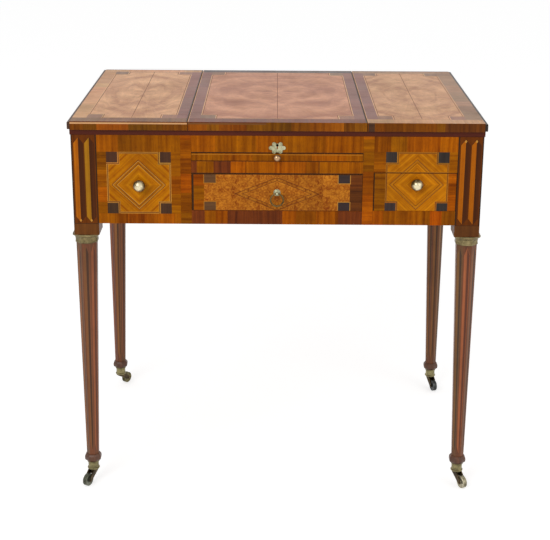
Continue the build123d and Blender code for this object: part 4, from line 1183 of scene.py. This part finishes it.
def make_knobs():
    front = node_box("lock_rail")[0].y
    big, small = (11.0, 21.0), (6.5, 11.0)
    for node, body, look, (radius, reach) in (("left_knob", "case", "brass_knob", big),
                                              ("right_drawer_knob", "right_drawer", "brass_knob", big),
                                              ("slide_knob", "writing_slide", "brass_slide_knob", small)):
        middle = box_middle(node)
        foot = (middle.x, front, middle.z)

        def rub_and_highlight(point):
            """Worn bright and painted with a highlight on the crown, a little below and to the left of its
            middle; painted shade and reflection darken the rim and the neck.
            """
            from_highlight_spot = math.hypot((point.x - foot[0]) / radius + 0.12, (point.z - foot[2]) / radius + 0.1)
            if foot[1] - point.y < 0.5 * reach:
                return -0.3
            return 0.9 if from_highlight_spot < 0.5 else 0.3 if from_highlight_spot < 0.72 else -0.1
        bm = spun(knob_profile(radius, reach), foot, -Y, 40)
        finish_metal(f"{node}_turned", bm, metal(look), body, "brass", node, rub_and_highlight=rub_and_highlight)


PLATE_HALF_WIDTH, PLATE_HALF_HEIGHT, PLATE_THICK = 11.5, 8.1, 1.6
PETALS, PETAL_RADIUS, RIM_STEPS = 6, 3.6, 240
KEYHOLE_RADIUS, KEYHOLE_FOOT, KEYHOLE_HALF_WIDTH = 2.4, 7.0, 1.1


def make_escutcheon():
    """Oval plate with six petals on its rim, pierced for the key."""
    low, high = node_box("escutcheon")
    centre = Vector((0, high.y, (low.z + high.z) / 2))
    around = turns(RIM_STEPS)
    middles = [(PLATE_HALF_WIDTH * math.cos(t), PLATE_HALF_HEIGHT * math.sin(t))
               for t in around[::RIM_STEPS // PETALS]]

    def rim_radius(ray_x, ray_z):
        reach = 1 / math.hypot(ray_x / PLATE_HALF_WIDTH, ray_z / PLATE_HALF_HEIGHT)
        for a, b in middles:
            along = a * ray_x + b * ray_z
            inside = PETAL_RADIUS ** 2 - (a * a + b * b - along * along)
            if inside > 0:
                reach = max(reach, along + math.sqrt(inside))
        return reach

    def hole_radius(ray_x, ray_z):
        if ray_z > -0.4:
            return KEYHOLE_RADIUS
        return max(KEYHOLE_RADIUS, min(KEYHOLE_FOOT / -ray_z, KEYHOLE_HALF_WIDTH / max(abs(ray_x), 1e-6)))

    def ring(middle, radius):
        rays = [(math.cos(t), math.sin(t)) for t in around]
        points = [bm.verts.new(middle + (X * a + Z * b) * radius(a, b)) for a, b in rays]
        return [bm.edges.new((points[i - 1], points[i])) for i in range(RIM_STEPS)]
    bm = bmesh.new()
    rim = ring(centre, rim_radius)
    hole = ring(centre + Z * (KEY_Z - centre.z), hole_radius)
    bmesh.ops.bridge_loops(bm, edges=rim + hole)
    bmesh.ops.recalc_face_normals(bm, faces=bm.faces)
    if sum(face.normal.y for face in bm.faces) > 0:
        bmesh.ops.reverse_faces(bm, faces=bm.faces)
    grown = bmesh.ops.extrude_face_region(bm, geom=bm.faces[:])["geom"]
    front = [g for g in grown if isinstance(g, bmesh.types.BMVert)]
    bmesh.ops.translate(bm, vec=(0, -PLATE_THICK, 0), verts=front)
    bmesh.ops.recalc_face_normals(bm, faces=bm.faces)
    finish_metal("escutcheon_flower", bm, metal("brass_escutcheon"), "case", "brass", "escutcheon", sharp=30,
                 arris=0.3)


ROSETTE = ((0.0, 0.0), (6.5, 0.0), (6.5, 0.6), (5.9, 1.1), (5.0, 1.0), (4.4, 1.4), (3.0, 1.6), (1.6, 2.4),
           (1.5, 5.2), (0.0, 5.2))
RING_EYE = ((2.1, -1.8), (3.2, -1.8), (3.6, -1.0), (3.6, 1.0), (3.2, 1.8), (2.1, 1.8), (2.1, -1.8))
RING_RADIUS, RING_WIRE, WIRE_STEPS = 11.7, 1.6, 12


def make_ring_pull():
    pivot_y = box_middle("drawer_ring").y
    pivot_z = box_middle("ring_mount").z
    front = node_box("lock_rail")[0].y
    mount = spun(ROSETTE, (0, front, pivot_z), -Y, 36)
    join_mesh(mount, spun(RING_EYE, (0, pivot_y, pivot_z), X, 28))
    finish_metal("ring_pull_mount", mount, metal("brass_rosette"), "centre_drawer", "brass", "ring_mount")
    round_wire = turns(WIRE_STEPS) + [2 * math.pi]
    section = [(RING_RADIUS + RING_WIRE * math.cos(t), RING_WIRE * math.sin(t)) for t in round_wire]
    ring = spun(section, (0, pivot_y, pivot_z - RING_RADIUS), Y, 44)
    finish_metal("ring_pull", ring, metal("brass_ring"), "drawer_ring", "brass", "drawer_ring")


# ---------------------------------------------------------------- casters
WHEEL_BRASS = {"front_left": "wheel_grey", "front_right": "wheel_pale", "rear_left": "wheel_olive",
               "rear_right": "wheel_slate"}
WHEEL_RADIUS = 12.0
WHEEL_FACE = ((1.6, 4.5), (3.4, 4.5), (3.8, 4.1), (9.6, 4.1), (10.4, 4.5), (11.4, 4.5), (WHEEL_RADIUS, 3.9))
FORK_BOSS = ((0, 24.5), (7.2, 24.5), (8.0, 25.3), (8.0, 28.2), (7.5, 28.7), (0, 28.7))
# outlines of the fork, ahead of the swivel and above the floor; the cheek ends round the hub
FORK_CHEEK = [(-6.6, 28.6), (7.4, 28.6), (-6.8, 25.2)]
FORK_CHEEK += [(20.0 + 4.0 * math.cos(t), 12.0 + 4.0 * math.sin(t)) for t in turns(16)]
FORK_WEB = [(-6.8, 25.2), (-6.8, 27.6), (6.6, 18.6), (5.4, 16.6)]
FORK_INSIDE, FORK_OUTSIDE = 5.1, 7.1
AXLE_END = ((0, 8.1), (1.2, 8.1), (2.3, 7.7), (2.4, 7.1), (1.5, 7.1))


def mirrored(half):
    """A profile with its other half, below and then above the middle."""
    return [(radius, -height) for radius, height in half] + list(half[::-1])


def plate(outline, foot, ahead, across, inner, outer):
    """A flat plate of a convex outline, given by (ahead, up) points, between two places across."""
    bm = bmesh.new()
    for offset in (inner, outer):
        for along, up in outline:
            bm.verts.new(foot + ahead * along + Z * up + across * offset)
    bmesh.ops.convex_hull(bm, input=bm.verts)
    bmesh.ops.delete(bm, geom=[v for v in bm.verts if not v.link_faces], context="VERTS")
    bmesh.ops.recalc_face_normals(bm, faces=bm.faces)
    return bm


def make_caster(corner, x, y):
    foot = Vector((x, y, 0))
    hub = box_middle(f"caster_wheel_{corner}")
    ahead = Vector((hub.x - x, hub.y - y, 0)).normalized()
    across = Vector((ahead.y, -ahead.x, 0))
    wheel = mirrored(WHEEL_FACE)
    grooves = [point for groove in (-2.25, 0.0, 2.25)
               for point in ((WHEEL_RADIUS, groove - 0.6), (11.0, groove - 0.4), (11.0, groove + 0.4),
                             (WHEEL_RADIUS, groove + 0.6))]
    wheel[len(WHEEL_FACE):len(WHEEL_FACE)] = grooves
    finish_metal(f"caster_wheel_{corner}_turned", spun(wheel + [wheel[0]], hub, across, 48),
                 metal(WHEEL_BRASS[corner]), f"wheel_{corner}", "tarnished_brass", f"caster_wheel_{corner}")
    fork = spun(FORK_BOSS, foot, Z, 32)
    near, far = FORK_INSIDE, FORK_OUTSIDE
    for outline, inner, outer in ((FORK_CHEEK, near, far), (FORK_CHEEK, -far, -near), (FORK_WEB, -near, near)):
        join_mesh(fork, plate(outline, foot, ahead, across, inner, outer))
    join_mesh(fork, spun(mirrored(AXLE_END), hub, across, 20))
    finish_metal(f"caster_fork_{corner}_cast", fork, metal("brass_fork"), f"caster_{corner}",
                 "tarnished_brass", f"caster_fork_{corner}", sharp=35, arris=0.25)


# ---------------------------------------------------------------- CAD nodes that stay as they are
def dress_nodes():
    """Materials for the nodes whose own shape is right."""
    looks = (
        (wood("moulding_dark", "x"), "frieze_moulding"),
        (wood("moulding_dark", "y"), "mirror_bead"),
        (wood("lipping_brown", "y"), "left_flap_lipping"),
        (wood("lipping_black", "y"), "right_flap_lipping"),
        (wood("pine", "x"), "bottom_board", "slide_bed"),
        (wood("inside_veneer", "x"), "well_floors"),
        (wood("oak", "y"), "drawer_runners", "drawer_kickers", "centre_drawer_box", "right_drawer_box"),
        (wood("oak", "x"), "centre_drawer_bottom", "right_drawer_bottom"),
        (make_mirror_silvering(), "mirror_glass"),
        (metal("brass_dark"), "hinge_fixed_leaves", "hinge_pins", "left_flap_hinge_leaves",
         "right_flap_hinge_leaves", "lid_hinge_leaves", "lid_strike"),
        (metal("lock_steel"), "lock_case", "lock_bolt"),
    )
    for material, *names in looks:
        for name in names:
            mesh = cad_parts[name].data
            mesh.materials.clear()
            mesh.materials.append(material)


# ---------------------------------------------------------------- stage, light and camera
WORLD_LIGHT, FLOOR_GLOW = 0.62, 0.6
FLOOR_REACH = 30.0
FLOOR_GREY = (0.62, 0.62, 0.62, 1.0)
VIEW_FROM = (-0.0035, -2.3897, 1.2308)
VIEW_PITCH, VIEW_ROLL = 16.812, 0.357
SENSOR_WIDTH, LENS, FRAME_SHIFT = 36.0, 80.688, -0.12


def seen_directly(g):
    """1 where the camera sees a surface directly, in a reflection or through glass, else 0."""
    path = g.add("ShaderNodeLightPath").outputs
    seen = g.math("MAXIMUM", path["Is Camera Ray"], path["Is Glossy Ray"])
    return g.math("MAXIMUM", seen, path["Is Transmission Ray"])


def make_stage():
    bm = bmesh.new()
    bmesh.ops.create_grid(bm, x_segments=1, y_segments=1, size=FLOOR_REACH)
    material, g, shader = new_material("studio_floor")
    g.tree.nodes.remove(shader)
    paper = g.add("ShaderNodeBsdfDiffuse")
    paper.inputs["Color"].default_value = FLOOR_GREY
    glow = g.add("ShaderNodeEmission")
    g.put(glow.inputs["Strength"], g.math("MULTIPLY", seen_directly(g), FLOOR_GLOW))
    total = g.add("ShaderNodeAddShader")
    g.put(total.inputs[0], paper.outputs[0])
    g.put(total.inputs[1], glow.outputs[0])
    g.put(g.tree.nodes["Material Output"].inputs["Surface"], total.outputs[0])
    make_object("studio_floor", bm, [material], unit=1.0)


def make_world():
    world = bpy.data.worlds.new("studio")
    bpy.context.scene.world = world
    world.use_nodes = True
    g = Graph(world.node_tree)
    back = world.node_tree.nodes["Background"]
    back.inputs["Color"].default_value = (1.0, 1.0, 1.0, 1.0)
    g.put(back.inputs["Strength"], g.math("MULTIPLY_ADD", seen_directly(g), 1.0 - WORLD_LIGHT, WORLD_LIGHT))


def make_lamp(name, place_at, aim, size, power):
    light = bpy.data.lights.new(name, "AREA")
    light.shape = "DISK"
    light.size = size
    light.energy = power
    lamp = bpy.data.objects.new(name, light)
    lamp.location = place_at
    lamp.rotation_euler = (Vector(aim) - Vector(place_at)).to_track_quat("-Z", "Y").to_euler()
    bpy.context.scene.collection.objects.link(lamp)


def make_camera():
    pitch, roll = math.radians(VIEW_PITCH), math.radians(VIEW_ROLL)
    forward = Vector((0, math.cos(pitch), -math.sin(pitch)))
    upward = Vector((0, math.sin(pitch), math.cos(pitch)))
    right = X * math.cos(roll) + upward * math.sin(roll)
    top = upward * math.cos(roll) - X * math.sin(roll)
    data = bpy.data.cameras.new("viewpoint")
    data.sensor_width = SENSOR_WIDTH
    data.lens = LENS
    data.shift_y = FRAME_SHIFT
    camera = bpy.data.objects.new("viewpoint", data)
    turn = Matrix((right, top, -forward)).transposed().to_4x4()
    camera.matrix_world = Matrix.Translation(VIEW_FROM) @ turn
    bpy.context.scene.collection.objects.link(camera)
    bpy.context.scene.camera = camera


# ---------------------------------------------------------------- everything in its order
make_camera()
make_world()
make_lamp("key_softbox", (-1.6, -2.6, 2.4), (0, 0, 0.6), 2.2, 42.0)
make_lamp("fill_softbox", (2.4, -1.6, 1.6), (0, 0, 0.5), 2.0, 14.0)
make_stage()
make_top()
make_left_front()
make_right_front()
make_centre_drawer_front()
make_rails()
make_partitions()
make_writing_slide()
make_case_sides()
for leg_corner in LEG_CORNERS:
    make_leg(leg_corner)
make_leg_fittings()
make_knobs()
make_escutcheon()
make_ring_pull()
for leg_corner, leg_x, leg_y in leg_centres(SHAFT_SPLAY):
    make_caster(leg_corner, leg_x, leg_y)
dress_nodes()
bpy.context.scene.view_settings.view_transform = "Standard"
